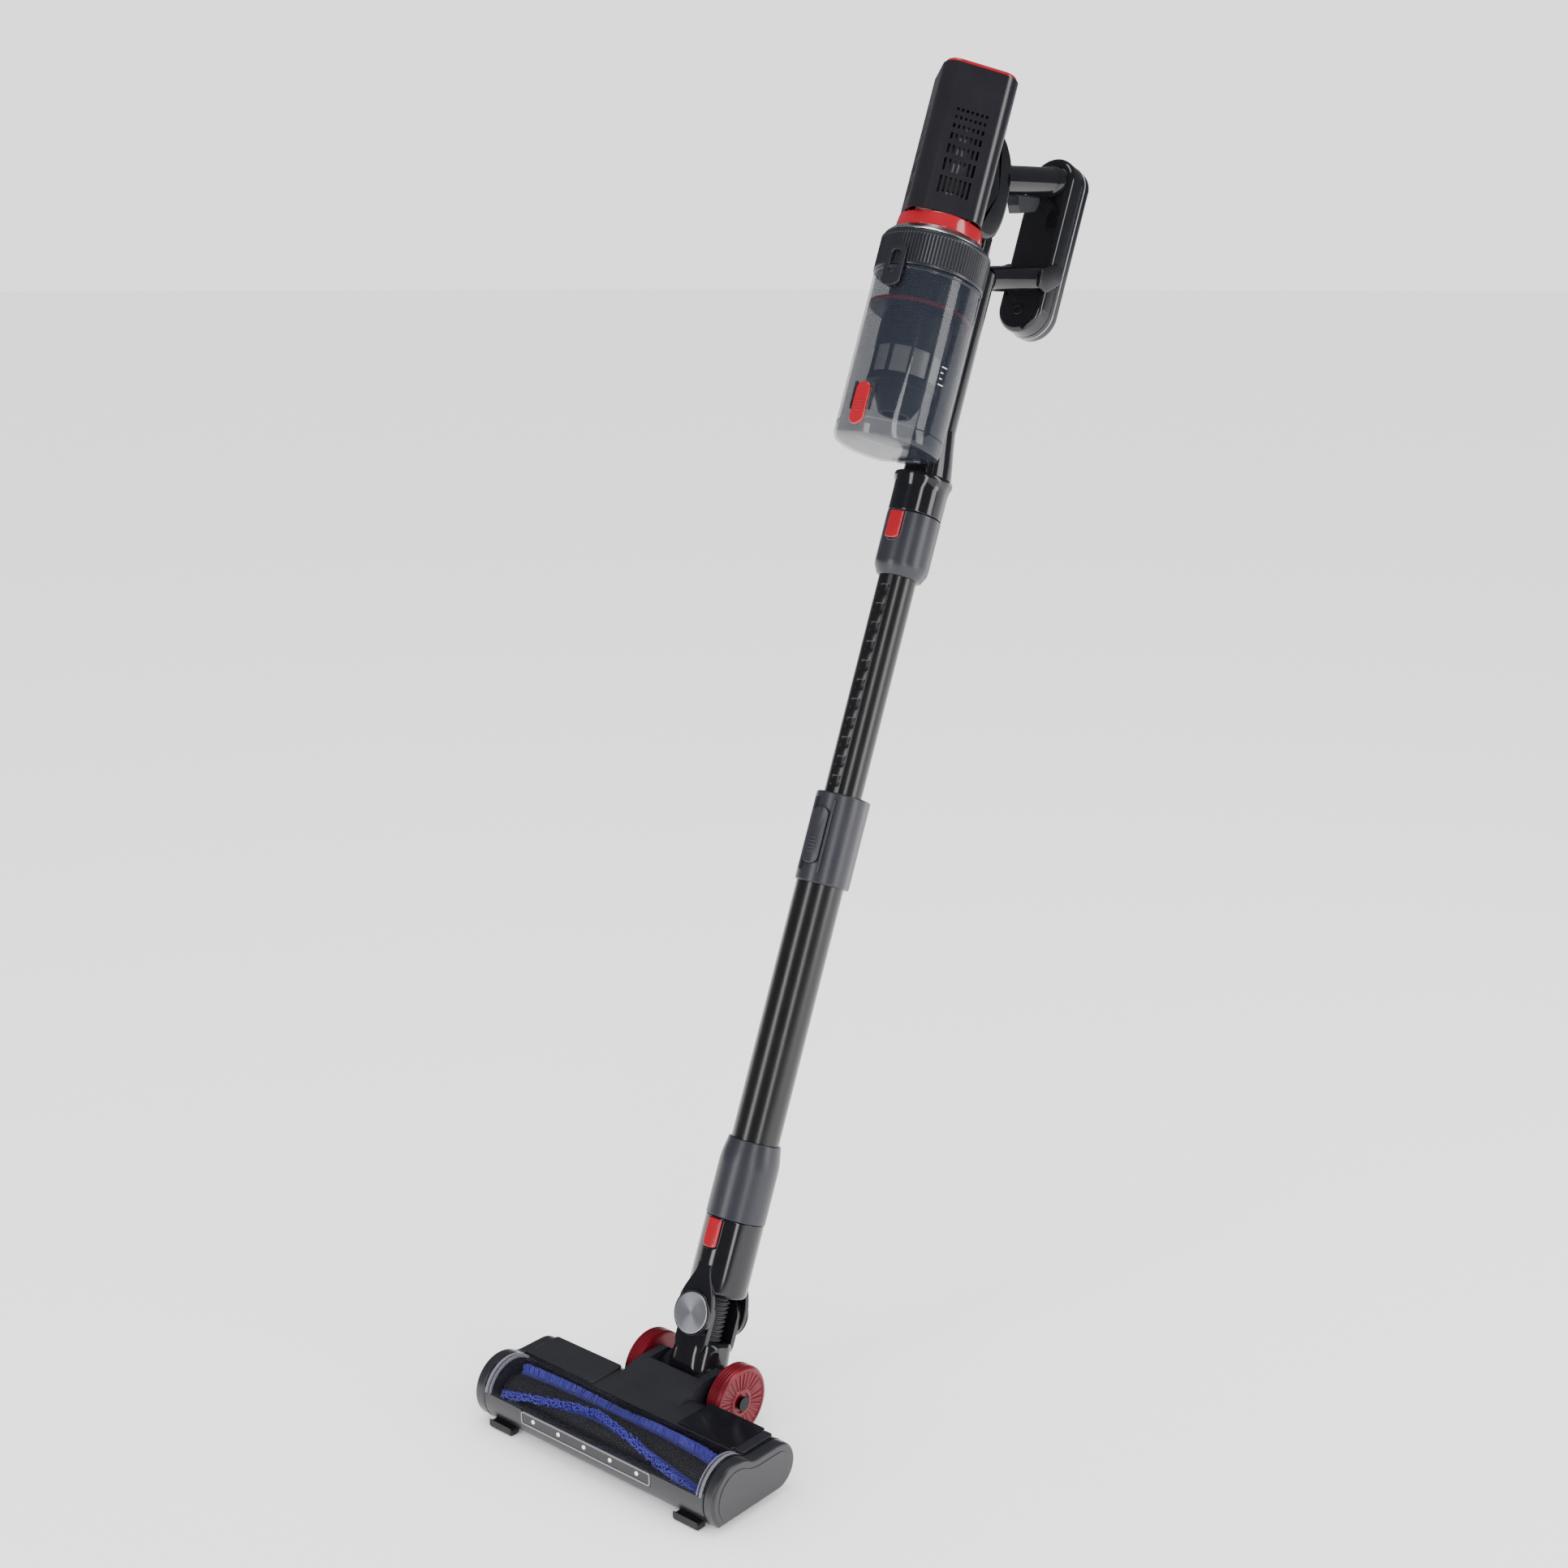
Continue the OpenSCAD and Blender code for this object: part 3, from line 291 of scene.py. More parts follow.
def finish(name, colour, rough, metal=0.0, grain=0.3, depth=0.02, fleck=None, ior=1.5, coat=0.0, alpha=1.0,
           wear=0.06, specular=0.5):
    """A surface with fine grain in its height, slow drift in its gloss and a slight drift in its colour.
    grain is the size of the surface's own texture in mm, depth its height in mm."""
    m = bpy.data.materials.new(name)
    m.use_nodes = True
    t = m.node_tree
    t.nodes.clear()
    out = add(t, "ShaderNodeOutputMaterial")
    where = add(t, "ShaderNodeTexCoord").outputs["Object"]
    fine = add(t, "ShaderNodeTexNoise", [("Vector", where)], Scale=1 / (grain * MM), Detail=2.0)
    slow = add(t, "ShaderNodeTexNoise", [("Vector", where)], Scale=1 / (DRIFT * MM), Detail=3.0)
    second = linear(fleck) if fleck else tuple(min(1, c * 1.25 + 0.002) for c in linear(colour)[:3]) + (1.0,)
    mix = add(t, "ShaderNodeMix", [("Factor", slow.outputs["Fac"])], data_type="RGBA")
    for pair in (("A", linear(colour)), ("B", second)):
        for s in mix.inputs:
            if s.name == pair[0] and s.type == "RGBA":
                s.default_value = pair[1]
    gloss = add(t, "ShaderNodeMapRange", [("Value", slow.outputs["Fac"])])
    gloss.inputs["To Min"].default_value = max(0.02, rough - wear / 2)
    gloss.inputs["To Max"].default_value = rough + wear / 2
    bump = add(t, "ShaderNodeBump", [("Height", fine.outputs["Fac"])], Strength=BUMP, Distance=depth * MM)
    colour_out = [s for s in mix.outputs if s.type == "RGBA"][0]
    shader = add(t, "ShaderNodeBsdfPrincipled", [
        ("Base Color", colour_out), ("Roughness", gloss.outputs["Result"]),
        ("Normal", bump.outputs["Normal"])])
    shader.inputs["Metallic"].default_value = metal
    if not metal:
        shader.inputs["IOR"].default_value = ior
        shader.inputs["Specular IOR Level"].default_value = specular
    shader.inputs["Coat Weight"].default_value = coat
    shader.inputs["Coat Roughness"].default_value = COAT_ROUGH
    shader.inputs["Alpha"].default_value = alpha
    t.links.new(out.inputs["Surface"], shader.outputs["BSDF"])
    return m


# Gloss-moulded ABS, almost mirror smooth, deep black with a faint drift in its shine
BLACK_ABS = finish("gloss black ABS", "#0c0c10", 0.12, grain=1.2, depth=0.01)
# The same plastic, tinted a dark warm grey, for the motor housing
HOUSING_ABS = finish("gloss charcoal ABS", "#131217", 0.2, grain=1.0, depth=0.012)
# Spark-eroded satin ABS: a fine grit spreads the highlights wide and soft
SATIN_ABS = finish("satin charcoal ABS", "#1c1c24", 0.34, grain=0.45, depth=0.03)
# A darker satin for the floor head's body
HEAD_ABS = finish("satin graphite ABS", "#19191e", 0.32, grain=0.45, depth=0.03)
# Black anodised aluminium tube, with drawing marks too fine to see, so only a soft sheen
ANODISED = finish("black anodised aluminium", "#08080a", 0.25, grain=0.6, depth=0.008)
# Red ABS under clear lacquer
RED_ABS = finish("gloss red ABS", "#840816", 0.16, grain=1.2, depth=0.01, coat=0.4, fleck="#94101f")
# Red metallic lacquer over the wheels: flecks of brighter red under gloss
WHEEL_LACQUER = finish("red metallic lacquer", "#4e0612", 0.3, metal=0.4, grain=0.5, depth=0.02,
                       fleck="#7a0e20")
# Turned aluminium, bright, with fine rings
BRIGHT_RING = finish("turned bright aluminium", "#d4d4d8", 0.22, metal=1.0, grain=0.4, depth=0.02)
# Smoked polycarbonate, see-through grey-blue, mirror smooth
SMOKED_PC = finish("smoked polycarbonate", "#22262f", 0.06, grain=30.0, depth=0.004, alpha=0.46, ior=1.58)
# Clear polycarbonate of the head's front window
CLEAR_PC = finish("clear polycarbonate", "#20202a", 0.05, grain=30.0, depth=0.004, alpha=0.12, ior=1.45)
# Thick edges of the clear window, paled grey as a painted highlight where the light gathers in them
PC_EDGE_HIGHLIGHT = finish("polycarbonate edge painted highlight", "#70707a", 0.12, grain=20.0, depth=0.006, alpha=0.6, ior=1.58)
# Fine-grained ABS of the bin's fittings: a broad dull sheen
GREY_ABS = finish("dark grey moulded ABS", "#15161c", 0.3, grain=0.6, depth=0.02)
# Woven stainless wire, pale and half dull because its wires face every way
MESH_STEEL = finish("woven steel mesh", "#c8c8c4", 0.4, metal=0.7, grain=0.5, depth=0.05)
# Felted polyester filter: white, rough, with no highlight
FILTER_CLOTH = finish("white filter cloth", "#e4e2da", 0.85, grain=0.4, depth=0.1)
# Steel pins turned and polished: a narrow bright highlight
STEEL = finish("turned steel", "#9a9a9e", 0.28, metal=1.0, grain=0.3, depth=0.015)
# Steel blackened by oxide: dark, with a metal's coloured sheen
BLACK_STEEL = finish("black-oxide steel", "#2a2a2c", 0.35, metal=1.0, grain=0.3, depth=0.015)
# Drawn steel can: grey and satin from the die
MOTOR_CAN = finish("drawn steel can", "#84868c", 0.38, metal=1.0, grain=0.4, depth=0.015)
# Moulded acetal: off-white and waxy
WHITE_PLASTIC = finish("white acetal", "#dcdcd8", 0.4, grain=0.6, depth=0.02)
# Moulded rubber: near black, dull and slightly pitted
RUBBER = finish("black rubber", "#121214", 0.62, grain=0.3, depth=0.05)
# Blow-moulded soft hose: dark grey with a soft shine on each rib
HOSE_TPE = finish("soft black hose", "#26262a", 0.42, grain=0.4, depth=0.03)
# Solder mask on glass-fibre board: green and even
BOARD = finish("green circuit board", "#1f6a3a", 0.45, grain=0.5, depth=0.02)
# Nylon filaments cut in tufts: violet, paler where the ends catch light
NYLON_VIOLET = finish("violet nylon bristle", "#28247c", 0.42, grain=0.25, depth=0.05, fleck="#403ca4")
# Woven pile under the tufts: deeper violet and dull
NYLON_BASE = finish("violet pile base", "#1c1a5a", 0.7, grain=0.3, depth=0.08)
# Clear moulded lens over a white lamp: pale, with a sharp point of light
LAMP = finish("clear lamp lens", "#f2f0e6", 0.12, grain=1.0, depth=0.01, coat=0.5)
# Metallised plastic strip: a thin bright line. On the battery's rim that bright line is a painted highlight,
# standing in for the light caught along the pack's rounded rear edge
TRIM_AND_PAINTED_HIGHLIGHT = finish("bright trim strip", "#8e8e96", 0.24, grain=0.6, depth=0.01, metal=0.6)


def ring_uv(centre_q):
    """UV map whose u runs round the stick's front-to-back axis, so the brushing can follow it."""
    centre = place(stick([0, centre_q, 0]))

    def write(mesh):
        n = len(mesh.loops)
        index = np.empty(n, dtype=np.int32)
        mesh.loops.foreach_get("vertex_index", index)
        co = np.empty(len(mesh.vertices) * 3)
        mesh.vertices.foreach_get("co", co)
        d = co.reshape(-1, 3)[index] - centre
        a = np.arctan2(d @ UP, d[:, 0])
        counts = np.empty(len(mesh.polygons), dtype=np.int32)
        mesh.polygons.foreach_get("loop_total", counts)
        first = np.repeat(np.cumsum(counts) - counts, counts)
        a = np.where(a - a[first] > math.pi, a - TAU, np.where(a - a[first] < -math.pi, a + TAU, a))
        u = np.stack([a / TAU, np.linalg.norm(d, axis=1) / 0.02], -1)
        layer = mesh.uv_layers.new(name="round")
        layer.data.foreach_set("uv", u.ravel())
    return write


def spun_metal():
    """Aluminium faced on a lathe: rings too fine to see spread the highlights into bright wedges."""
    m = finish("spun aluminium", "#8a8a90", 0.3, metal=1.0, grain=0.3, depth=0.004)
    t = m.node_tree
    shader = [n for n in t.nodes if n.type == "BSDF_PRINCIPLED"][0]
    way = add(t, "ShaderNodeTangent", direction_type="UV_MAP", uv_map="round")
    shader.inputs["Anisotropic"].default_value = 0.85
    t.links.new(shader.inputs["Tangent"], way.outputs["Tangent"])
    return m


SPUN = spun_metal()

# CAD nodes that keep their own shape
KEPT = {
    HOUSING_ABS: ["motor_housing"],
    RED_ABS: ["battery_latch"],
    HEAD_ABS: ["head_chassis", "head_cover"],
    GREY_ABS: ["cyclone_cone", "trigger"],
    CLEAR_PC: ["window"],
    FILTER_CLOTH: ["pre_filter"],
    STEEL: ["trigger_pin", "door_pin"],
    BLACK_STEEL: ["wheel_axle", "handle_screws", "head_screws"],
    MOTOR_CAN: ["suction_motor", "brush_motor"],
    WHITE_PLASTIC: ["impeller", "inner_bush", "motor_pulley"],
    RUBBER: ["motor_seal", "drive_belt"],
    BOARD: ["control_board"],
}
for material, names in KEPT.items():
    for node in names:
        mesh = frame["nodes"][node].data
        mesh.materials.clear()
        mesh.materials.append(material)

# ---- Wand ----

def tube(r_out, r_in, low, high, f=0.5, q=0.0):
    """Closed pipe wall turned from a softened rectangle."""
    v, faces = shell(turned(softened([(r_out, low), (r_out, high), (r_in, high), (r_in, low)], f)),
                     loop=True)
    return v + np.array([0, q, 0]), faces


def bored(outline, path, bore):
    """Outline rings closed by a round bore: a loop of outer rings up and bore rings down."""
    outer = rings_of(outline, path)
    a = (np.arange(len(outline)) + 0.5) * TAU / len(outline)
    hole = np.stack([bore * np.cos(a), bore * np.sin(a)], -1)
    top, low = path[-1][1], path[0][1]
    inner = np.stack([np.column_stack([hole, np.full(len(hole), h)]) for h in (top, (top + low) / 2, low)])
    return shell(np.concatenate([outer, inner]), loop=True)


piece("outer tube", [tube(OUTER_R, OUTER_BORE, COLLAR_TOP + 13, SLEEVE_TOP - 12)], ANODISED, "wand_lower",
      ["outer_tube"])


def notched_tube(r, wall, low, high, notches):
    """Pipe whose radius drops 0.9 mm in each notch: a step across the front angle times one along it."""
    front = -math.pi / 2
    coarse = np.linspace(front + 0.42, front + TAU - 0.42, 60)
    fine = np.linspace(front - 0.42, front + 0.42, 29)[1:-1]
    a = np.concatenate([fine, coarse])
    hs = [low]
    for s in notches:
        hs += [s - 0.6, s, s + 0.6, s + 4.5, s + 8.4, s + 9, s + 9.6]
    h = np.array(sorted(hs + [high]))
    near = np.clip((0.27 - np.abs(a - front)) / 0.06, 0, 1) * (np.abs(a - front) < 0.42)
    mask = np.zeros(len(h))
    for s in notches:
        mask = np.maximum(mask, np.clip(np.minimum(h - s, s + 9 - h) / 0.6 + 0.5, 0, 1))
    rail = np.clip((0.36 - np.abs(a - front)) / 0.04, 0, 1) * (np.abs(a - front) < 0.42)
    inside = ((h > notches[0] - 3) & (h < notches[-1] + 12)).astype(float)
    radius = r - 0.25 * inside[:, None] * rail[None, :] - 0.9 * mask[:, None] * near[None, :]
    outer = np.stack([radius * np.cos(a), radius * np.sin(a), np.broadcast_to(h[:, None], radius.shape)], -1)
    bore = np.full(len(a), r - wall)
    inner = np.stack([np.column_stack([bore * np.cos(a), bore * np.sin(a), np.full(len(a), x)])
                      for x in (high, low)])
    return shell(np.concatenate([outer, inner]), loop=True)


NOTCHES = list(range(SLEEVE_TOP + 6, UPPER - 8, 17))
piece("inner tube", [notched_tube(INNER_R, INNER_WALL, SLEEVE_TOP - 150, UPPER + 44, NOTCHES)], ANODISED,
      "hand_unit", ["inner_tube"])

SLEEVE_SHAPE = round_hull([(0, 0, SLEEVE_R), (0, 9.5, 19.4)])
sleeve = [bored(SLEEVE_SHAPE, [(1.6, SLEEVE + 0.4), (0.5, SLEEVE + 0.9), (0, SLEEVE + 2.4), (0, SLEEVE + 60),
                               (0, SLEEVE_TOP - 1.6), (0.5, SLEEVE_TOP - 0.5), (1.6, SLEEVE_TOP)],
                               OUTER_FIT),
          tube(21.2, INNER_FIT, SLEEVE_TOP - 12, SLEEVE_TOP - 0.4)]
sleeve += [bent(slab(rounded_box(2.0, 64, 0.9, 24, (x, SLEEVE + 41)), -0.8, 2.3, 0.7, axes=ALONG_Q),
                SLEEVE_R, 0)
           for x in (-9.4, 9.4)]
piece("tube sleeve", sleeve, SATIN_ABS, "wand_lower", ["tube_collar"])
lever = [bent(slab(rounded_box(15, 49, 6, 48, (0, SLEEVE + 40.5)), 0.4, 3.0, 0.9, axes=ALONG_Q), SLEEVE_R,
              0)]
lever += [bent(slab(rounded_box(7, 1.2, 0.55, 16, (0, SLEEVE + 26 + 3 * i)), 2.8, 3.5, 0.3, axes=ALONG_Q),
               SLEEVE_R, 0)
          for i in range(5)]
piece("slide lever", lever, SATIN_ABS, "slide_lever", ["slide_lever"])

lower_profile = softened([
    (17.2, COLLAR_TOP - 20), (17.2, COLLAR_TOP), (CONN_R, COLLAR_TOP + 0.15), (CONN_R, CONN_TOP - 17),
    (22.9, CONN_TOP),
    (OUTER_FIT, CONN_TOP), (OUTER_FIT, COLLAR_TOP + 13), (14.5, COLLAR_TOP + 13), (14.5, COLLAR_TOP - 20)],
    [0.4, 0.4, 0.9, 6, 0.8, 0.4, 0.4, 0.4, 0.4])
piece("lower connector", [shell(turned(lower_profile, 128), loop=True)], SATIN_ABS, "wand_lower",
      ["lower_connector"])


def latch(s, front, w, h):
    """Release button: flat on top and round below, crowned outwards."""
    shape = softened([(-w / 2, s - 0.6), (-w / 2, s - h + w / 2), (-w / 2, s - h), (w / 2, s - h),
                      (w / 2, s - h + w / 2), (w / 2, s - 0.6)], [1, 0.2, w * 0.45, w * 0.45, 0.2, 1], 8)
    return bent(slab(shape, -1.2, 2.6, 1.1, axes=ALONG_Q), front, 0)


def latch_frame(s, front, w, h):
    """Dark lip round a release button: a thin raised band that follows its outline."""
    shape = softened([(-w / 2, s - 0.3), (-w / 2, s - h), (w / 2, s - h), (w / 2, s - 0.3)],
                     [1, w * 0.5, w * 0.5, 1], 8)
    rings = rings_of(shape, [(0, 0.0), (-0.2, 0.6), (-0.9, 0.9), (-1.5, 0.3), (-1.5, -0.6), (0, -0.6)])
    v, faces = shell(rings, loop=True, axes=ALONG_Q)
    return bent((v, faces), front, 0)


piece("lower release", [latch(COLLAR_TOP - 1, NECK_R, LATCH_W, LATCH_H)], RED_ABS, "lower_latch",
      ["lower_latch"])
upper_latch = latch(SEAM - 1, HEAD_TUBE_R, LATCH_W, LATCH_H)
piece("upper release", [upper_latch], RED_ABS, "upper_latch", ["upper_latch"])

UPPER_SHAPE = round_hull([(0, 0, HEAD_TUBE_R), (0, 5.5, 21.4)])
upper = [bored(UPPER_SHAPE, [(5.5, UPPER), (4.2, UPPER + 0.6), (0.6, UPPER + 7.5), (0, UPPER + 12),
                             (0, SEAM - 1.2), (0.3, SEAM - 0.5), (0.9, SEAM - 0.2)], INNER_FIT),
         tube(17.2, 14.5, SEAM - 1, SEAM + 20),
         latch_frame(SEAM - 1, HEAD_TUBE_R, LATCH_W + LIP, LATCH_H + LIP)]
piece("upper connector", upper, SATIN_ABS, "hand_unit", ["upper_connector"])

# ---- Hand unit ----
NECK_TOP = CUP - 3
neck = [bored(UPPER_SHAPE, [(0.9, SEAM + 0.2), (0.3, SEAM + 0.5), (0, SEAM + 1.2), (0, SEAM + 22),
                            (-0.6, SEAM + 27),
                            (-2.0, SEAM + 31), (-2.2, SEAM + 33), (-1.4, NECK_TOP)], 17.3)]
piece("inlet neck", neck, BLACK_ABS, "hand_unit", ["inlet_neck"])

SPINE_FRONT = 14.2
spine_disc = circle(18, 128)
spine_shape = np.column_stack([spine_disc[:, 0], np.maximum(spine_disc[:, 1], -SPINE_FRONT)])
spine = [slab(spine_shape, NECK_TOP, SILVER + 5, 1.2)]
shoulder = round_hull([(0, 3, 20.5), (0, 5.5, 21.4)], 128)
shoulder[:, 1] = np.maximum(shoulder[:, 1], -SPINE_FRONT + 4)
spine.append(shell(np.stack([np.column_stack([spine_shape * (1 - k) + shoulder * k, np.full(128, h)])
                             for k, h in [(1, NECK_TOP - 1), (0.97, NECK_TOP + 2), (0.7, NECK_TOP + 14),
                                          (0.35, NECK_TOP + 27), (0.05, NECK_TOP + 40),
                                          (-0.02, NECK_TOP + 44)]])))
piece("spine", spine, BLACK_ABS, "hand_unit", ["spine_duct"])

bracket_shape = softened([(-35, BODY + 6), (-14, BODY + 7), (-3, BODY + 13), (3, BODY + 28), (4, BODY + 46),
                          (1, BODY + 72), (-8, BODY + 86), (-20, BODY + 96), (-35, BODY + 100)],
                         [1, 6, 7, 7, 8, 8, 7, 6, 1], 6)
bracket = [slab(bracket_shape, -15, 15, 5, axes=ALONG_X),
           slab(softened([(-12, SILVER - 2), (2, SILVER - 2), (1, BODY + 16), (-12, BODY + 16)], 2), -10, 10,
                3, axes=ALONG_X)]
piece("handle bracket", bracket, BLACK_ABS, "hand_unit", ["handle_bracket"])

# Upper arm: a level round bar, swollen where it meets the grip
arm_sections = [(-5, 33, 27), (8, 33.5, 27), (40, 34, 27.4), (58, 34, 27.5), (60, 35.6, 29.2),
                (64, 36.4, 30), (71, 36.4, 30)]


def arm_rings(sections, slope, m=96):
    """Rings of a level bar: each (y, width, height) a round-ended box, the last ones tilted."""
    rows = []
    for y, w, h in sections:
        o = round_hull([(-(w - h) / 2, 0, h / 2), ((w - h) / 2, 0, h / 2)], m)
        rows.append(np.column_stack([o[:, 0], np.full(m, y) + slope * o[:, 1] * (y > 50), o[:, 1]]))
    return np.stack(rows)


GRIP_SLOPE = math.tan(RISE)
arm_end = GRIP_Q / math.cos(RISE)
upper_sections = [(y * arm_end / 71, w, h) for y, w, h in arm_sections]
piece("upper arm", [shell(arm_rings(upper_sections, GRIP_SLOPE))], BLACK_ABS, "hand_unit", ["upper_arm"],
      how=handle(68))
lower_sections = [(11, 32, 21.6), (24, 33, 22), (44, 38, 22.3), (64, 48, 22.3), (arm_end - 1.5, 51, 22.3),
                  (arm_end + 0.2, 50, 21)]
cheek = round_hull([(arm_end - 6, -1, 11), (arm_end + 9.5, 3, 9.6)], 64)
lower_arm = [shell(arm_rings(lower_sections, GRIP_SLOPE))]
lower_arm += [slab(cheek, min(a, b), max(a, b), 1.2, axes=(2, 0, 1)) for a, b in ((23.4, 27), (-23.4, -27))]
piece("lower arm", lower_arm, BLACK_ABS, "hand_unit", ["lower_arm"], how=handle(-22))

grip_outline = round_hull([(0, GRIP_S + GRIP_W / 2, GRIP_W / 2),
                           (0, GRIP_S + GRIP_L - GRIP_W / 2, GRIP_W / 2)], 128)
shell_d, gap, battery_d = 16.7, 0.4, 16
front_shell = slab(grip_outline, GRIP_Q, GRIP_Q + shell_d, 5, axes=ALONG_Q, top=0.8)
piece("grip shell", [front_shell], BLACK_ABS, "hand_unit", ["grip_shell"])
jack = shell(turned(softened([(5.0, 0.0), (5.0, 0.9), (4.2, 1.2), (3.0, 1.0), (3.0, 0.0)], 0.3), 48),
             loop=True, axes=ALONG_Q)
jack = (jack[0] * np.array([1, -1, 1]) + np.array([0, GRIP_Q + 0.1, GRIP_S + 20]), jack[1])
plug = slab(circle(2.9, 32, (0, GRIP_S + 20)), GRIP_Q - 0.25, GRIP_Q + 0.1, 0.1, axes=ALONG_Q)
piece("charging jack", [jack, plug], BLACK_ABS, "hand_unit")
battery_low = GRIP_Q + shell_d + gap
battery = [slab(grip_outline, battery_low, battery_low + battery_d, 0.8, axes=ALONG_Q, top=5)]
piece("battery pack", battery, BLACK_ABS, "battery", ["battery_pack"])
# Bright strip standing a little proud round the battery's rim: a painted highlight of the light caught along
# the pack's rounded rear edge
rim = rings_of(grip_outline, [(0.2, battery_low + 4.2), (-0.35, battery_low + 4.6),
                              (-0.35, battery_low + 5.6),
                              (0.2, battery_low + 6.0), (1.2, battery_low + 5.1)])
piece("battery rim line", [shell(rim, loop=True, axes=ALONG_Q)], TRIM_AND_PAINTED_HIGHLIGHT, "battery")

turn = np.array([[1, 1], [-1, 1]]) / math.sqrt(2)
cap_shape = rounded_box(62.4, 62.4, 12.4, 128) @ turn + np.array([0, BODY_Q])
piece("top cap", [slab(cap_shape, CAP - 0.2, CAP + 4, 0.3, top=2.4)], RED_ABS, "hand_unit", ["top_cap"])
RING_Q = (CUP_Q + BODY_Q) / 2
red_profile = softened([(37.6, RED), (37.2, RED + 6), (36.4, BODY - 0.4), (32, BODY - 0.4), (32, RED)],
                       [0.8, 3, 1.2, 0.3, 0.3])
piece("red ring", [moved(shell(turned(red_profile, 160), loop=True), (0, RING_Q, 0))], RED_ABS, "hand_unit",
      ["red_ring"])
silver_profile = softened([(45.2, SILVER), (44.6, SILVER + 1.6), (39.4, RED - 0.2), (32, RED - 0.2),
                           (32, SILVER)],
                          [0.4, 1.2, 0.8, 0.3, 0.3])
piece("silver ring", [moved(shell(turned(silver_profile, 160), loop=True), (0, RING_Q, 0))], BRIGHT_RING,
      "hand_unit", ["silver_ring"])

# ---- Dust bin ----

def ribbed_collar(r, low, high, ribs, m=1200):
    """Turned band with upright ribs: its radius is r minus 0.9 times a rounded wave, flat at both edges."""
    a = (np.arange(m) + 0.5) * TAU / m
    wave = 0.9 * (0.5 - 0.5 * np.cos(ribs * a)) ** 0.7
    rows = []
    for d, h, k in [(6, low, 0), (1.2, low, 0), (0.3, low + 0.4, 0), (0, low + 1.2, 0), (0, low + 2.6, 0),
                    (0, low + 3.4, 1), (0, high - 4.2, 1), (0, high - 3.2, 0), (0, high - 1.4, 0),
                    (0.6, high - 0.4, 0), (1.6, high, 0), (6, high, 0)]:
        radius = r - d - k * wave
        y = np.minimum(radius * np.sin(a), -SPINE_FRONT - 0.4 - CUP_Q)
        rows.append(np.column_stack([radius * np.cos(a), CUP_Q + y, np.full(m, h)]))
    return shell(np.stack(rows), loop=True)


piece("ribbed collar", [ribbed_collar(BAND_R, BAND + 0.4, SILVER - 0.4, 100),
                        tube(42.2, 26, BAND + 0.6, BAND + 5, q=CUP_Q)], GREY_ABS, "bin", ["cup_collar"])
cup_profile = softened([(CUP_R, DOOR_TOP + 0.2), (CUP_R, BAND - 3), (CUP_R + 0.7, BAND - 2.2),
                        (CUP_R + 0.7, BAND), (44.2, BAND), (44.2, DOOR_TOP + 0.2)], 0.4)
piece("dust cup", [moved(shell(turned(cup_profile, 160), loop=True), (0, CUP_Q, 0))], SMOKED_PC, "bin",
      ["dust_cup"])
guides = [bent(slab(rounded_box(1.8, 24, 0.8, 24, (x, DOOR_TOP + 17)), 0.0, 2.8, 0.6, axes=ALONG_Q), CUP_R,
               CUP_Q)
          for x in (-9.2, 9.2)]
guides.append(bent(slab(rounded_box(26, 1.1, 0.5, 24, (0, BAND - 12)), -0.1, 0.5, 0.2, axes=ALONG_Q), CUP_R,
                   CUP_Q))
piece("cup guides", guides, GREY_ABS, "bin")
marks = [bent(slab(rounded_box(w, 0.7, 0.3, 16, (62 + w / 2, DOOR_TOP + 42 + 5 * i)), -0.05, 0.2, 0.1,
                   axes=ALONG_Q),
              CUP_R, CUP_Q) for i, w in enumerate((6, 3, 3, 6))]
piece("level marks", marks, FILTER_CLOTH, "bin")
level_band = tube(44.0, 42.1, BAND - 28.6, BAND - 25.6, 0.3, CUP_Q)
piece("level ring", [level_band], RED_ABS, "bin", ["level_ring"])

# Door: a shallow cup with a rounded floor edge and a rim line
edge = [(0, CUP), (30, CUP), (41, CUP + 0.6), (44.8, CUP + 2.6), (CUP_R, CUP + 6.5), (CUP_R, DOOR_TOP - 0.4)]
inner_edge = [(44.2, DOOR_TOP - 0.4), (44.2, CUP + 7), (42.4, CUP + 3.8), (39, CUP + 2.4), (0, CUP + 2.2)]
door_rows = [(max(r, 0.05), h) for r, h in edge + inner_edge]
door = shell(turned(door_rows, 160))
door = (np.column_stack([door[0][:, 0], np.minimum(door[0][:, 1] + CUP_Q, -30 + 0.2), door[0][:, 2]]),
        door[1])
piece("cup door", [door, slab(rounded_box(18, 6, 2.8, 32, (0, -30)), CUP + 0.2, CUP + 5.8, 1)], SMOKED_PC,
      "cup_door", ["cup_door"])
button = [bent(slab(rounded_box(14, 37, 6.6, 64, (0, CUP + 26.5)), 0.5, 3.5, 1.4, axes=ALONG_Q), CUP_R,
               CUP_Q)]
button += [bent(slab(rounded_box(7, 1.1, 0.5, 16, (0, CUP + 20 + 2.6 * i)), 3.3, 3.9, 0.25, axes=ALONG_Q),
                CUP_R, CUP_Q)
           for i in range(4)]
piece("door button", button, RED_ABS, "door_button", ["door_button"])


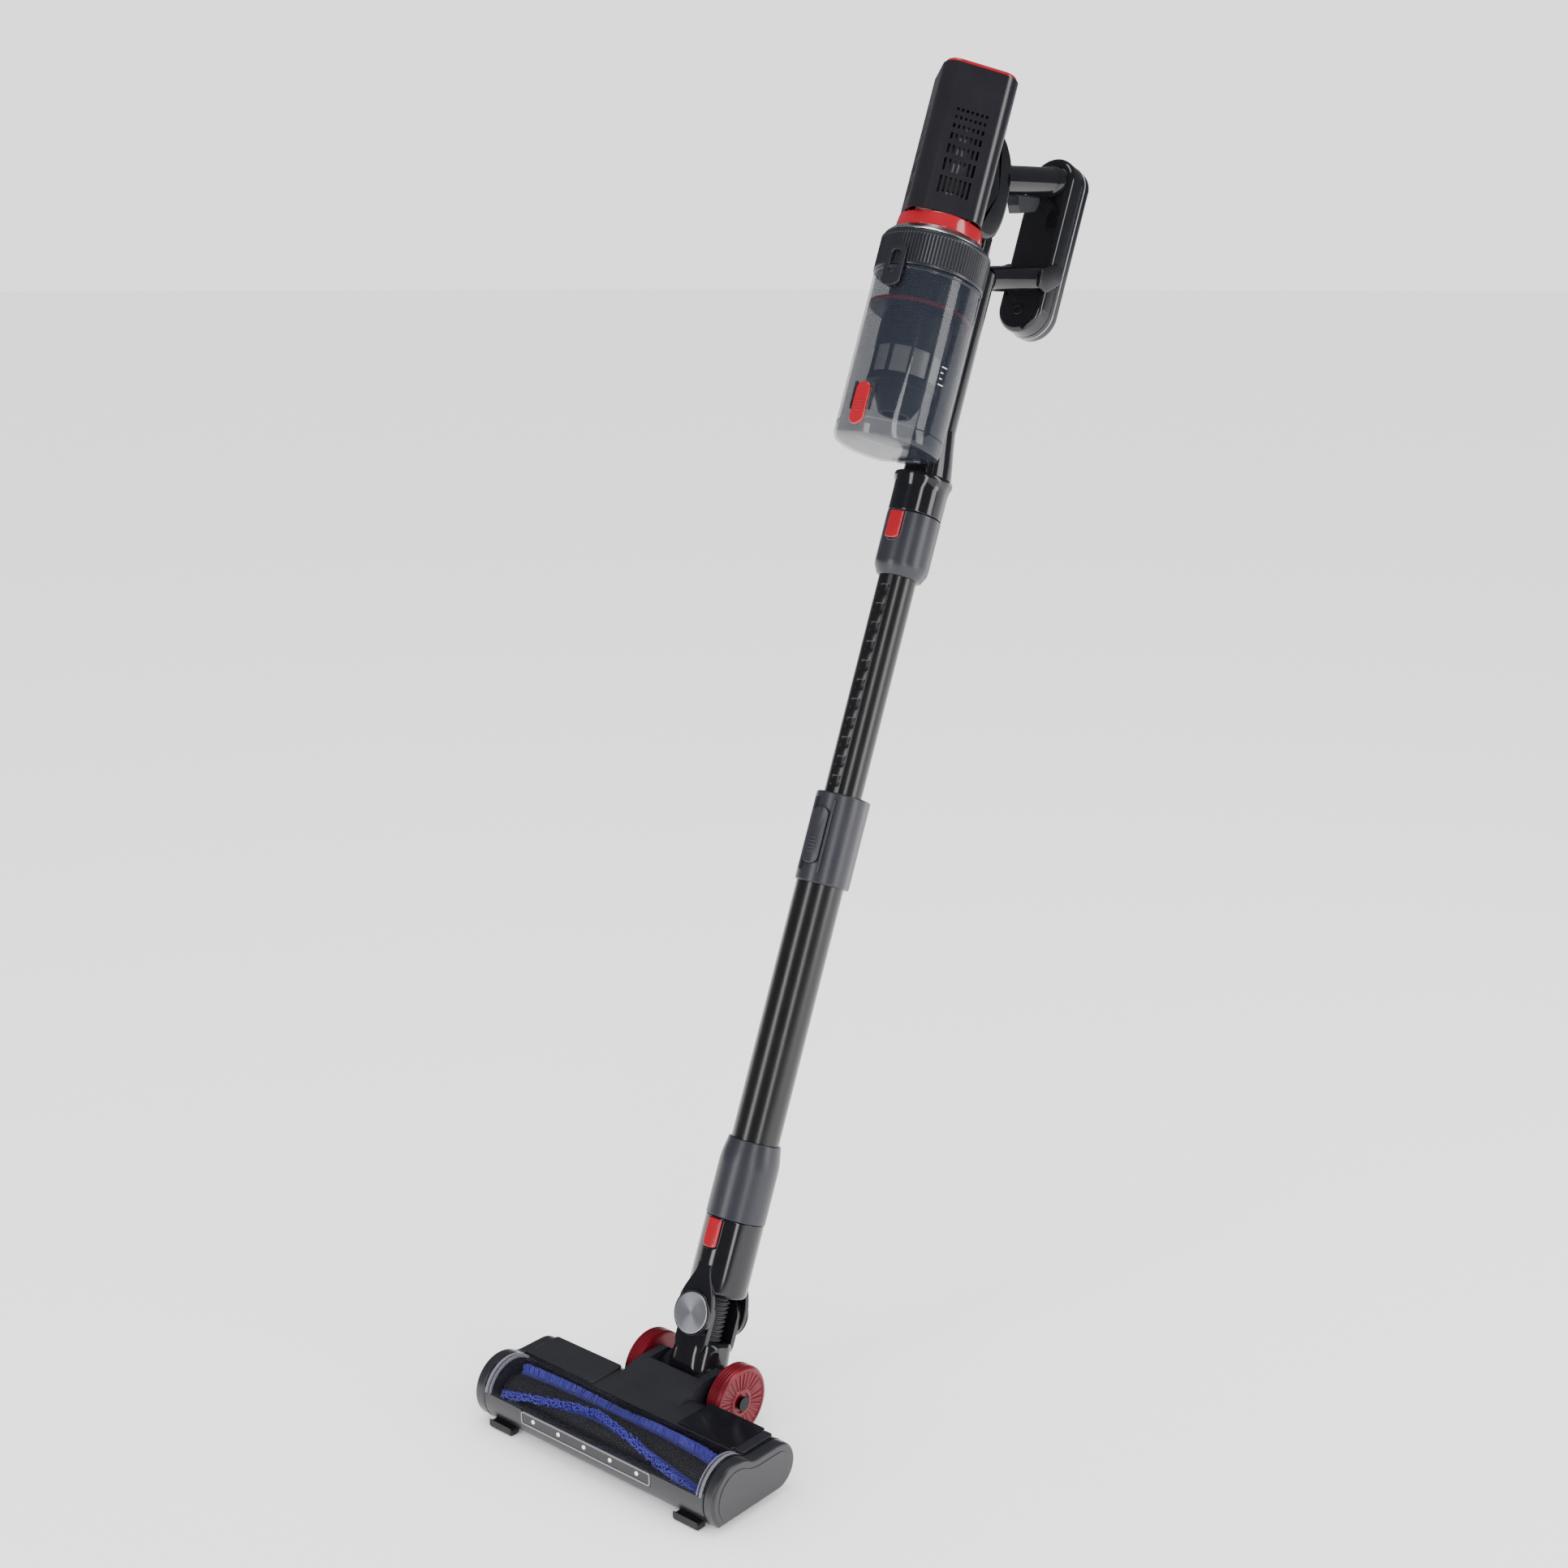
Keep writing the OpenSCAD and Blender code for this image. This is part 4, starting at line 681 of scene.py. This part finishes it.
def clip_loop():
    """Clip over the collar: a round-cornered ring, bent round the cup, with a solid foot."""
    s = BAND - 17 + 15
    outer, inner = rounded_box(18, 36, 6, 64, (0, s)), rounded_box(9, 20, 4, 64, (0, s + 3))
    rows = [np.column_stack([o, np.full(64, h)]) for o, h in
            [(inset(outer, 0.9), 0), (inset(outer, 0.2), 0.4), (outer, 1), (outer, 1.8),
             (inset(outer, 0.3), 2.4),
             (inset(outer, 1), 2.7), (inset(inner, -1), 2.7), (inset(inner, -0.2), 2.2), (inner, 1.4),
             (inner, 0.4), (inset(inner, -0.6), 0)]]
    v, faces = shell(np.stack(rows), loop=True, axes=ALONG_Q)
    return bent((v + np.array([0, 1.1, 0]), faces), BAND_R, CUP_Q)


piece("cup clip", [clip_loop()], GREY_ABS, "cup_clip", ["cup_clip"])

shroud_low = BAND - 92
SHROUD_BARS, SHROUD_BAR_R = 10, 28.6
shroud_rings = [(30, shroud_low), (30, shroud_low + 5), (28.6, shroud_low + 6), (28.6, shroud_low + 56),
                (30, shroud_low + 57), (30, shroud_low + 62.8), (42, shroud_low + 63), (42, shroud_low + 67),
                (30.2, shroud_low + 67.2), (30, BAND + 0.4), (28.2, BAND + 0.4), (27.4, shroud_low)]
shroud = [moved(shell(turned(shroud_rings, 120), loop=True), (0, CUP_Q, 0)),
          tube(30.6, 29.3, shroud_low + 29, shroud_low + 58, 0.5, CUP_Q),
          tube(30.6, 29.3, shroud_low - 1, shroud_low + 4, 0.5, CUP_Q)]
for k in range(SHROUD_BARS):
    a = k * TAU / SHROUD_BARS + 0.1
    bar = shell(rings_of(rounded_box(3.2, 4.4, 0.7, 16), fillet_path(shroud_low + 4, shroud_low + 58, 0.3)))
    v = bar[0] + np.array([0, SHROUD_BAR_R, 0])
    shroud.append((np.column_stack([v[:, 0] * math.cos(a) - v[:, 1] * math.sin(a),
                                    v[:, 0] * math.sin(a) + v[:, 1] * math.cos(a) + CUP_Q, v[:, 2]]),
                                    bar[1]))
piece("cyclone shroud", shroud, GREY_ABS, "bin", ["shroud"])


def mesh_cage():
    """Fine mesh inside the shroud's windows: a turned sheet with a shallow weave in its radius."""
    m, n = 260, 60
    a = (np.arange(m) + 0.5) * TAU / m
    h = np.linspace(shroud_low + 6.5, shroud_low + 55.5, n)
    r = 28.9 + 0.16 * np.sin(65 * a)[None, :] * np.sin(h * TAU / 3.2)[:, None]
    outer = np.stack([r * np.cos(a), CUP_Q + r * np.sin(a), np.broadcast_to(h[:, None], r.shape)], -1)
    bore = np.stack([np.column_stack([28.4 * np.cos(a), CUP_Q + 28.4 * np.sin(a), np.full(m, x)])
                     for x in (h[-1], h[0])])
    return shell(np.concatenate([outer, bore]), loop=True)


piece("shroud mesh", [mesh_cage()], MESH_STEEL, "bin")

# ---- Neck ----

def lug(q_low, q_high, r, top, w_top):
    """Cheek of the swing joint: round below, flaring upwards into the neck."""
    a = np.linspace(-math.pi, 0, 33)
    low = np.stack([r * np.cos(a), r * np.sin(a)], -1)
    h = np.linspace(0, 1, 14)[1:]
    half = w_top + (r - w_top) * (0.5 + 0.5 * np.cos(math.pi * h ** 1.3))
    side = np.stack([half, top * h], -1)
    shape = np.concatenate([low, side, (side * [-1, 1])[::-1]])
    return slab(shape, q_low, q_high, 0.9, axes=ALONG_Q)


LUG_R, LUG_T = 19, 4.8
collar_profile = softened([(17.3, COLLAR_TOP), (17.3, 60), (15, 58), (15, 31), (21, 30), (21, 17),
                           (25.2, 19),
                           (NECK_R, 30), (NECK_R, COLLAR_TOP - 0.15)], [0.3, 0.3, 0.3, 1, 1, 1.5, 3, 4, 0.7])
collar = [shell(turned(collar_profile, 128), loop=True),
          latch_frame(COLLAR_TOP - 1, NECK_R, LATCH_W + LIP, LATCH_H + LIP)]
collar += [lug(a, b, LUG_R, 42, 7) for a, b in ((-NECK_R, -NECK_R + LUG_T), (NECK_R - LUG_T, NECK_R))]
piece("neck collar", collar, BLACK_ABS, "wand_lower", ["neck_collar"])


def pivot(side):
    """Swing pin with its turned cap: a pin and a faced disc, along the front-to-back axis."""
    rows = [(6, 14.8), (6, 25.5), (17.4, 25.5), (17.5, 26.0), (17.5, 27.4), (17.1, 27.9), (16.2, 28.1),
            (9, 27.95), (3, 27.85), (0.6, 27.8)]
    v, faces = shell(turned(rows, 96), axes=ALONG_Q)
    return v * np.array([1, side, 1]), faces


for side, body_name in ((-1, "front disc"), (1, "rear disc")):
    piece(body_name, [pivot(side)], SPUN, "wand_lower", [body_name.replace(" ", "_")],
          uv=ring_uv(side * 28))
    rim_rows = softened([(17.7, 25.3), (19.2, 25.3), (19.2, 26.6), (18.6, 27.3), (17.7, 27.3)], 0.4)
    v, faces = shell(turned(rim_rows, 96), loop=True, axes=ALONG_Q)
    piece(body_name + " rim", [(v * np.array([1, side, 1]), faces)], BLACK_ABS, "wand_lower")

BARREL_R, BARREL_W = 22.0, 53.0
barrel_rows = [(AXLE_FIT, -BARREL_W / 2), (BARREL_R - 1.6, -BARREL_W / 2),
               (BARREL_R - 0.4, -BARREL_W / 2 + 0.4),
               (BARREL_R, -BARREL_W / 2 + 1.6), (BARREL_R, BARREL_W / 2 - 1.6),
               (BARREL_R - 0.4, BARREL_W / 2 - 0.4),
               (BARREL_R - 1.6, BARREL_W / 2), (AXLE_FIT, BARREL_W / 2)]
barrel = moved(shell(turned(barrel_rows, 128), loop=True, axes=(2, 0, 1)), AXLE)


def neck_body():
    """Lower neck: from the barrel's width up to a rounded shoulder below the hose, waisted at the sides."""
    rows = []
    for s, wx, wq, r in [(-59, 24, 20, 12), (-50, 24, 20.6, 14), (-42, 23, 21.2, 16), (-34, 22.6, 21.2, 17),
                         (-28, 22.4, 20.8, 17), (-24, 22.0, 20.2, 16), (-21.6, 20.6, 19.6, 15),
                         (-20.6, 18.6, 18.6, 14)]:
        rows.append(np.column_stack([rounded_box(2 * wx, 2 * wq, r, 96), np.full(96, s)]))
    for s, r in [(-20.4, 15), (-22, 14), (-30, 13.8), (-58, 13.8)]:
        rows.append(np.column_stack([circle(r, 96), np.full(96, s)]))
    return shell(np.stack(rows), loop=True)


to_row = stick(neck_body()[0])
inner_cheeks = [slab(round_hull([(0, 0, 16.5), (0, -22, 16.5)], 64), a, b, 0.6, axes=ALONG_Q)
                for a, b in ((-20.2, -14.8), (14.8, 20.2))]
neck_parts = [(to_row, neck_body()[1]), barrel] + [(stick(v), f) for v, f in inner_cheeks]
piece("lower neck", neck_parts, BLACK_ABS, "neck", ["lower_neck"], how=level)


def ribbed_hose(low, high, pitch, m=96):
    """Hose wall: radius 12.3 plus 1.1 times a rounded wave along it, and a smooth bore."""
    h = np.linspace(low, high, int((high - low) / pitch * 8) + 1)
    r = 12.3 + 1.1 * np.sign(np.cos(h * TAU / pitch)) * np.abs(np.cos(h * TAU / pitch)) ** 0.6
    return shell(turned(list(zip(r, h)) + [(10.2, high), (10.2, low)], m), loop=True)


hose = piece("ribbed hose", [ribbed_hose(-24, 24, 4.0)], HOSE_TPE, None, ["bellows_hose"],
             sharp=80)
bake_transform(hose)

# ---- Floor head ----

def head_section(grow=0.0, k=10):
    """Outline of the floor head in (y, z): front arch, a soft dip, flat top, round back and flat sole."""
    by, bz = BRUSH[1], BRUSH[2]
    r = ARCH_R + grow
    a = np.radians(np.linspace(222.7, 58, 60))
    arch = np.stack([by + r * np.cos(a), bz + r * np.sin(a)], -1)
    t = np.linspace(0, 1, k)[1:, None]
    p0, p1, p2 = arch[-1], np.array([by + 19, TOP_Z + grow]), np.array([by + 27, TOP_Z + grow])
    dip = (1 - t) ** 2 * p0 + 2 * t * (1 - t) * p1 + t ** 2 * p2
    rr, rz = (TOP_Z - SOLE_Z) / 2 + grow, (TOP_Z + SOLE_Z) / 2
    b = np.radians(np.linspace(90, -90, 33))
    back = np.stack([REAR_Y - (TOP_Z - SOLE_Z) / 2 + rr * np.cos(b), rz + rr * np.sin(b)], -1)
    return np.concatenate([arch, dip, back])[::-1]


HALF_W, INNER = 135.0, 123.0
section = head_section()
caps = []
for x in (-1, 1):
    low, high = sorted((x * INNER, x * HALF_W))
    caps.append(slab(section, low + 0.15, high - 0.15, 2.6, axes=ALONG_X))
    low, high = sorted((x * (HALF_W - 1.0), x * (HALF_W + 0.35)))
    caps.append(slab(head_section(-6.5), low, high, 0.5, axes=ALONG_X))
piece("end caps", caps, HEAD_ABS, "head", ["end_caps"], how=level)
seams = []
for x in (-1, 1):
    low, high = sorted((x * (INNER - 0.2), x * (INNER + 1.3)))
    seams.append(slab(head_section(0.35), low, high, 0.2, axes=ALONG_X))
piece("cap seams", seams, BLACK_ABS, "head", how=level)


def arc_band(r_out, r_in, deg_low, deg_high, x_low, x_high, m=40):
    """Bar bent round the brush's axis: a softened rectangle (x, radius) carried over the given angles."""
    shape = softened([(x_low, r_in), (x_high, r_in), (x_high, r_out), (x_low, r_out)], 0.35, 3)
    a = np.radians(np.linspace(deg_low, deg_high, m))
    rows = np.stack([np.column_stack([shape[:, 0], BRUSH[1] + shape[:, 1] * math.cos(t),
                                      BRUSH[2] + shape[:, 1] * math.sin(t)]) for t in a])
    return shell(rows)


# Pale bands at both ends of the clear window: a painted highlight of the light gathered in its thick edges
rims = [arc_band(ARCH_R + 0.5, ARCH_R - 2.2, 50, 168, a, b)
        for a, b in ((-122.4, -119.6), (119.6, 122.4), (-117.6, -116.6), (116.6, 117.6))]
piece("window rims", rims, PC_EDGE_HIGHLIGHT, "head", how=level)


# Edges of the raised plates on the head's top
PLATE_REAR, PLATE_FRONT, PLATE_X = REAR_Y - 12, BRUSH[1] + 20.5, 122.5


def plate_shape(x0, x1, y0, y1):
    """Rectangle (x, y) with softened corners."""
    return softened([(x0, y0), (x1, y0), (x1, y1), (x0, y1)], 3)


# Raised plates on the head's top and the black badge panel
plates = [slab(plate_shape(-PLATE_X, -44, PLATE_FRONT, PLATE_REAR), TOP_Z - 1, TOP_Z + 1.6, 0.8),
          slab(plate_shape(113, PLATE_X, PLATE_FRONT, PLATE_REAR), TOP_Z - 1, TOP_Z + 1.6, 0.8)]
piece("top plates", plates, HEAD_ABS, "head", how=level)
badge = [slab(plate_shape(52, 112.4, BRUSH[1] + 21, REAR_Y - 9), TOP_Z - 1, TOP_Z + 1.2, 0.7)]
piece("badge panel", badge, BLACK_ABS, "head", ["badge_panel"], how=level)

# Light bar: a dark recess framed by a bright rail, with five lamps
FACE_Y = BRUSH[1] - ARCH_R
led_low, led_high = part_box("led_strip")
lx0, lx1 = led_low[0] / MM, led_high[0] / MM
bar = slab(rounded_box(lx1 - lx0, 11, 2.2, 48, ((lx0 + lx1) / 2, BRUSH[2] - 0.5)), FACE_Y + 0.2,
           FACE_Y + 1.4, 0.3, axes=ALONG_Q)
piece("light bar", [bar], BLACK_ABS, "head", ["led_strip"], how=level)
rail_shape = rounded_box(lx1 - lx0, 11, 2.2, 48, ((lx0 + lx1) / 2, BRUSH[2] - 0.5))
rail = rings_of(rail_shape, [(0.0, FACE_Y + 1.0), (-0.1, FACE_Y - 0.3), (0.3, FACE_Y - 0.5),
                             (0.9, FACE_Y - 0.3), (1.0, FACE_Y + 1.0)])
piece("light bar rail", [shell(rail, loop=True, axes=ALONG_Q)], TRIM_AND_PAINTED_HIGHLIGHT, "head", how=level)
lamp_low, lamp_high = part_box("led_lenses")
lamp_x = np.linspace(lamp_low[0] / MM + 1.8, lamp_high[0] / MM - 1.8, 5)
lamps = []
for x in lamp_x:
    v, faces = shell(turned([(1.8, 0.3), (1.8, -0.3), (1.5, -0.7), (1.0, -0.9), (0.3, -1.0)], 24),
                     axes=ALONG_Q)
    lamps.append((v + np.array([x, FACE_Y, BRUSH[2]]), faces))
piece("lamps", lamps, LAMP, "head", ["led_lenses"], how=level)

feet = []
for x0, x1 in ((-118, -92), (92, 118)):
    side = softened([(FACE_Y + 1.0, 0), (FACE_Y + 10, 0), (FACE_Y + 11, 5.9), (FACE_Y + 3.2, 5.9),
                     (FACE_Y - 0.2, 8.6), (FACE_Y - 0.6, 3)], 1.6)
    feet.append(slab(side, x0, x1, 1.4, axes=ALONG_X))
piece("front feet", feet, RUBBER, "head", ["front_feet"], how=level)

# Brush: a dark core with four V-shaped rows of violet tufts
CORE_R, BRISTLE_R, BRUSH_HALF = 15.0, 23.4, 119.5
core_rows = softened([(AXLE_FIT, -BRUSH_HALF), (9, -BRUSH_HALF), (9, -BRUSH_HALF + 9),
                      (CORE_R - 0.4, -BRUSH_HALF + 9),
                      (CORE_R, -BRUSH_HALF + 10.5), (CORE_R, BRUSH_HALF - 1), (CORE_R - 1, BRUSH_HALF),
                      (AXLE_FIT, BRUSH_HALF)], 0.3)
core = moved(shell(turned(core_rows, 96), loop=True, axes=ALONG_X), (0, BRUSH[1], BRUSH[2]))
piece("brush core", [core], RUBBER, "brush", ["brush_core"], how=level)


def v_angle(x, start):
    """Angle round the brush of a tuft row at x: falls away on both sides of a rounded apex."""
    return start + 0.0096 * (np.sqrt((x + 8) ** 2 + 12 ** 2) - 12)


def tufts(start, n=250):
    """Tufts along a V-shaped row: six-sided tapering rods that open out at their tips, three side by side."""
    x = np.repeat(np.linspace(-108, 116, n), 3)
    side = np.tile([-1.3, 0.0, 1.3], n) / CORE_R
    a = v_angle(x, start) + side + RNG.normal(0, 0.012, len(x))
    x = x + RNG.normal(0, 0.25, len(x))
    lean = RNG.normal(0, 0.035, len(x))
    tip = BRISTLE_R - RNG.uniform(0, 0.45, len(x))
    k = np.arange(6) * TAU / 6
    rows = []
    for f, w in ((0.0, 0.5), (0.55, 0.6), (1.0, 0.72)):
        r = CORE_R - 0.3 + f * (tip - CORE_R + 0.3)
        ang = a + lean * f * f
        px = x[:, None] + w * np.cos(k)[None, :]
        pa = ang[:, None] + (w * np.sin(k)[None, :]) / r[:, None]
        rows.append(np.stack([px, BRUSH[1] + r[:, None] * np.cos(pa), BRUSH[2] + r[:, None] * np.sin(pa)],
                             -1))
    v = np.stack(rows, 1)
    n_all = len(x)
    base = (np.arange(n_all) * 18)[:, None]
    j = np.arange(6)
    quads = []
    for row in (0, 1):
        q = np.stack([row * 6 + j, row * 6 + (j + 1) % 6, (row + 1) * 6 + (j + 1) % 6, (row + 1) * 6 + j],
                     -1)
        quads.append((base[:, :, None] + q[None]).reshape(-1, 4))
    ends = np.concatenate([base + np.arange(6)[::-1][None], base + 12 + np.arange(6)[None]])
    return v.reshape(-1, 3), np.concatenate(quads).tolist() + ends.tolist()


def pile(start, m=160):
    """Low pile strip under the tufts: a flat arch section carried along the V-shaped row."""
    x = np.linspace(-109, 117, m)
    w = np.linspace(-2.8, 2.8, 9)
    top = CORE_R + 2.4 * (1 - (w / 3.1) ** 4)
    a = v_angle(x, start)[:, None] + w[None, :] / CORE_R
    outer = np.stack([np.broadcast_to(x[:, None], a.shape), BRUSH[1] + top * np.cos(a),
                      BRUSH[2] + top * np.sin(a)], -1)
    low = CORE_R - 0.4
    inner = np.stack([np.broadcast_to(x[:, None], a.shape), BRUSH[1] + low * np.cos(a),
                      BRUSH[2] + low * np.sin(a)], -1)
    return shell(np.concatenate([outer, inner[:, ::-1]], axis=1))


ROWS = 4
STARTS = [2.0 + k * TAU / ROWS for k in range(ROWS)]
piece("bristles", [tufts(a) for a in STARTS], NYLON_VIOLET, "brush", ["brush_bristles"], how=level,
      sharp=60)
piece("bristle pile", [pile(a) for a in STARTS], NYLON_BASE, "brush", how=level)


# Ribs on a wheel's outer face, rings on its tread, and how far the ribs stand out
WHEEL_RIBS, TREAD_RINGS, RIB_RISE = 28, 4, 0.9


def wheel(side):
    """Wheel: a tread of raised rings, rounded shoulders and an outer face with radial ribs round a hub."""
    m = 12 * WHEEL_RIBS
    a = (np.arange(m) + 0.5) * TAU / m
    ribs = 0.5 + 0.5 * np.clip(2.2 * np.cos(WHEEL_RIBS * a), -1, 1)
    rows, r0, x0, x1 = [], 31.0, 39.0, 54.0
    profile = [(AXLE_FIT, x0, 0), (27, x0, 0), (29.4, x0 + 0.5, 0), (30.4, x0 + 1.6, 0)]
    for k in range(TREAD_RINGS):
        c = x0 + 3.2 + 2.8 * k
        profile += [(30.3, c - 1.3, 0), (r0, c - 0.8, 0), (r0, c + 0.5, 0), (30.3, c + 0.9, 0)]
    profile += [(30.2, x1 - 1.4, 0), (29.2, x1 - 0.4, 0), (28, x1, 0), (26.6, x1, 0), (25.8, x1 - 0.7, 0),
                (25.2, x1 - 1.2, 1), (19, x1 - 1.5, 1), (12.6, x1 - 1.5, 1), (12.2, x1 - 0.9, 0),
                (11.2, x1 - 0.2, 0),
                (9.4, x1, 0), (8.6, x1 - 0.3, 0), (8.2, x1 - 1.4, 0), (AXLE_FIT, x1 - 1.4, 0)]
    for r, x, k in profile:
        rows.append(np.column_stack([side * (x + k * RIB_RISE * ribs), r * np.cos(a), r * np.sin(a)]))
    v, faces = shell(np.stack(rows), loop=True)
    return v + np.array([0, AXLE[1], AXLE[2]]), faces


piece("left wheel", [wheel(-1)], WHEEL_LACQUER, "left_wheel", ["left_wheel"], how=level)
piece("right wheel", [wheel(1)], WHEEL_LACQUER, "right_wheel", ["right_wheel"], how=level)

# ---- Studio ----

def studio_surface(name, hexcode, rough):
    """Plain painted board of the studio."""
    m = bpy.data.materials.new(name)
    m.use_nodes = True
    shader = m.node_tree.nodes["Principled BSDF"]
    shader.inputs["Base Color"].default_value = linear(hexcode)
    shader.inputs["Roughness"].default_value = rough
    return m


# Studio floor, and the strength of the air's light on matt and on shiny surfaces
FLOOR_R, FLOOR_SIDES = 60000, 128
EVEN_LIGHT, MIRRORED_LIGHT = 1.9, 0.2
floor_mesh = bpy.data.meshes.new("studio floor")
floor_ring = np.column_stack([circle(FLOOR_R, FLOOR_SIDES), np.zeros(FLOOR_SIDES)])
floor_mesh.from_pydata(place(floor_ring).tolist(), [], [list(range(FLOOR_SIDES))])
floor_mesh.materials.append(studio_surface("pale studio floor", "#fcfcfc", 0.95))
floor = bpy.data.objects.new("studio floor", floor_mesh)
bpy.context.scene.collection.objects.link(floor)

world = bpy.data.worlds.new("studio air")
bpy.context.scene.world = world
world.use_nodes = True
air = world.node_tree
air.nodes.clear()
ray = add(air, "ShaderNodeLightPath")
mirrored = add(air, "ShaderNodeBackground", Color=linear("#e6e8f0"), Strength=MIRRORED_LIGHT)
even = add(air, "ShaderNodeBackground", Color=linear("#ffffff"), Strength=EVEN_LIGHT)
both = add(air, "ShaderNodeMixShader")
air.links.new(both.inputs[0], ray.outputs["Is Glossy Ray"])
air.links.new(both.inputs[1], even.outputs["Background"])
air.links.new(both.inputs[2], mirrored.outputs["Background"])
sky = add(air, "ShaderNodeOutputWorld")
air.links.new(sky.inputs["Surface"], both.outputs["Shader"])

middle = Vector((CAD_BOX[0][0] + CAD_BOX[1][0], CAD_BOX[0][1] + CAD_BOX[1][1],
                 CAD_BOX[0][2] + CAD_BOX[1][2])) / 2


def softbox(name, at, target, w, h, power):
    """Rectangular area light aimed at a point."""
    data = bpy.data.lights.new(name, "AREA")
    data.shape = "RECTANGLE"
    data.size, data.size_y, data.energy = w, h, power
    obj = bpy.data.objects.new(name, data)
    obj.location = at
    obj.rotation_euler = (Vector(target) - Vector(at)).to_track_quat("-Z", "Y").to_euler()
    bpy.context.scene.collection.objects.link(obj)


softbox("front strip", (-0.7, -2.9, 1.3), middle, 0.7, 2.2, 40)
softbox("near strip", (2.3, -1.75, 1.4), middle, 0.5, 2.2, 30)
softbox("right strip", (2.4, 0.9, 1.2), middle, 0.8, 2.2, 36)
softbox("overhead", (0.2, 0.1, 3.4), middle, 1.2, 1.2, 22)

# Camera: where it stands and what it looks at in metres, its lens and its film's width in millimetres
CAMERA_AT, CAMERA_AIM, LENS, FILM_W = (1.1107, -1.1953, 0.9543), (0, 0.1176, 0.5284), 49.07, 36
camera_data = bpy.data.cameras.new("studio camera")
camera_data.lens = LENS
camera_data.sensor_width = FILM_W
camera = bpy.data.objects.new("studio camera", camera_data)
camera.location = CAMERA_AT
aim = Vector(CAMERA_AIM) - camera.location
camera.rotation_euler = aim.to_track_quat("-Z", "Y").to_euler()
bpy.context.scene.collection.objects.link(camera)
bpy.context.scene.camera = camera
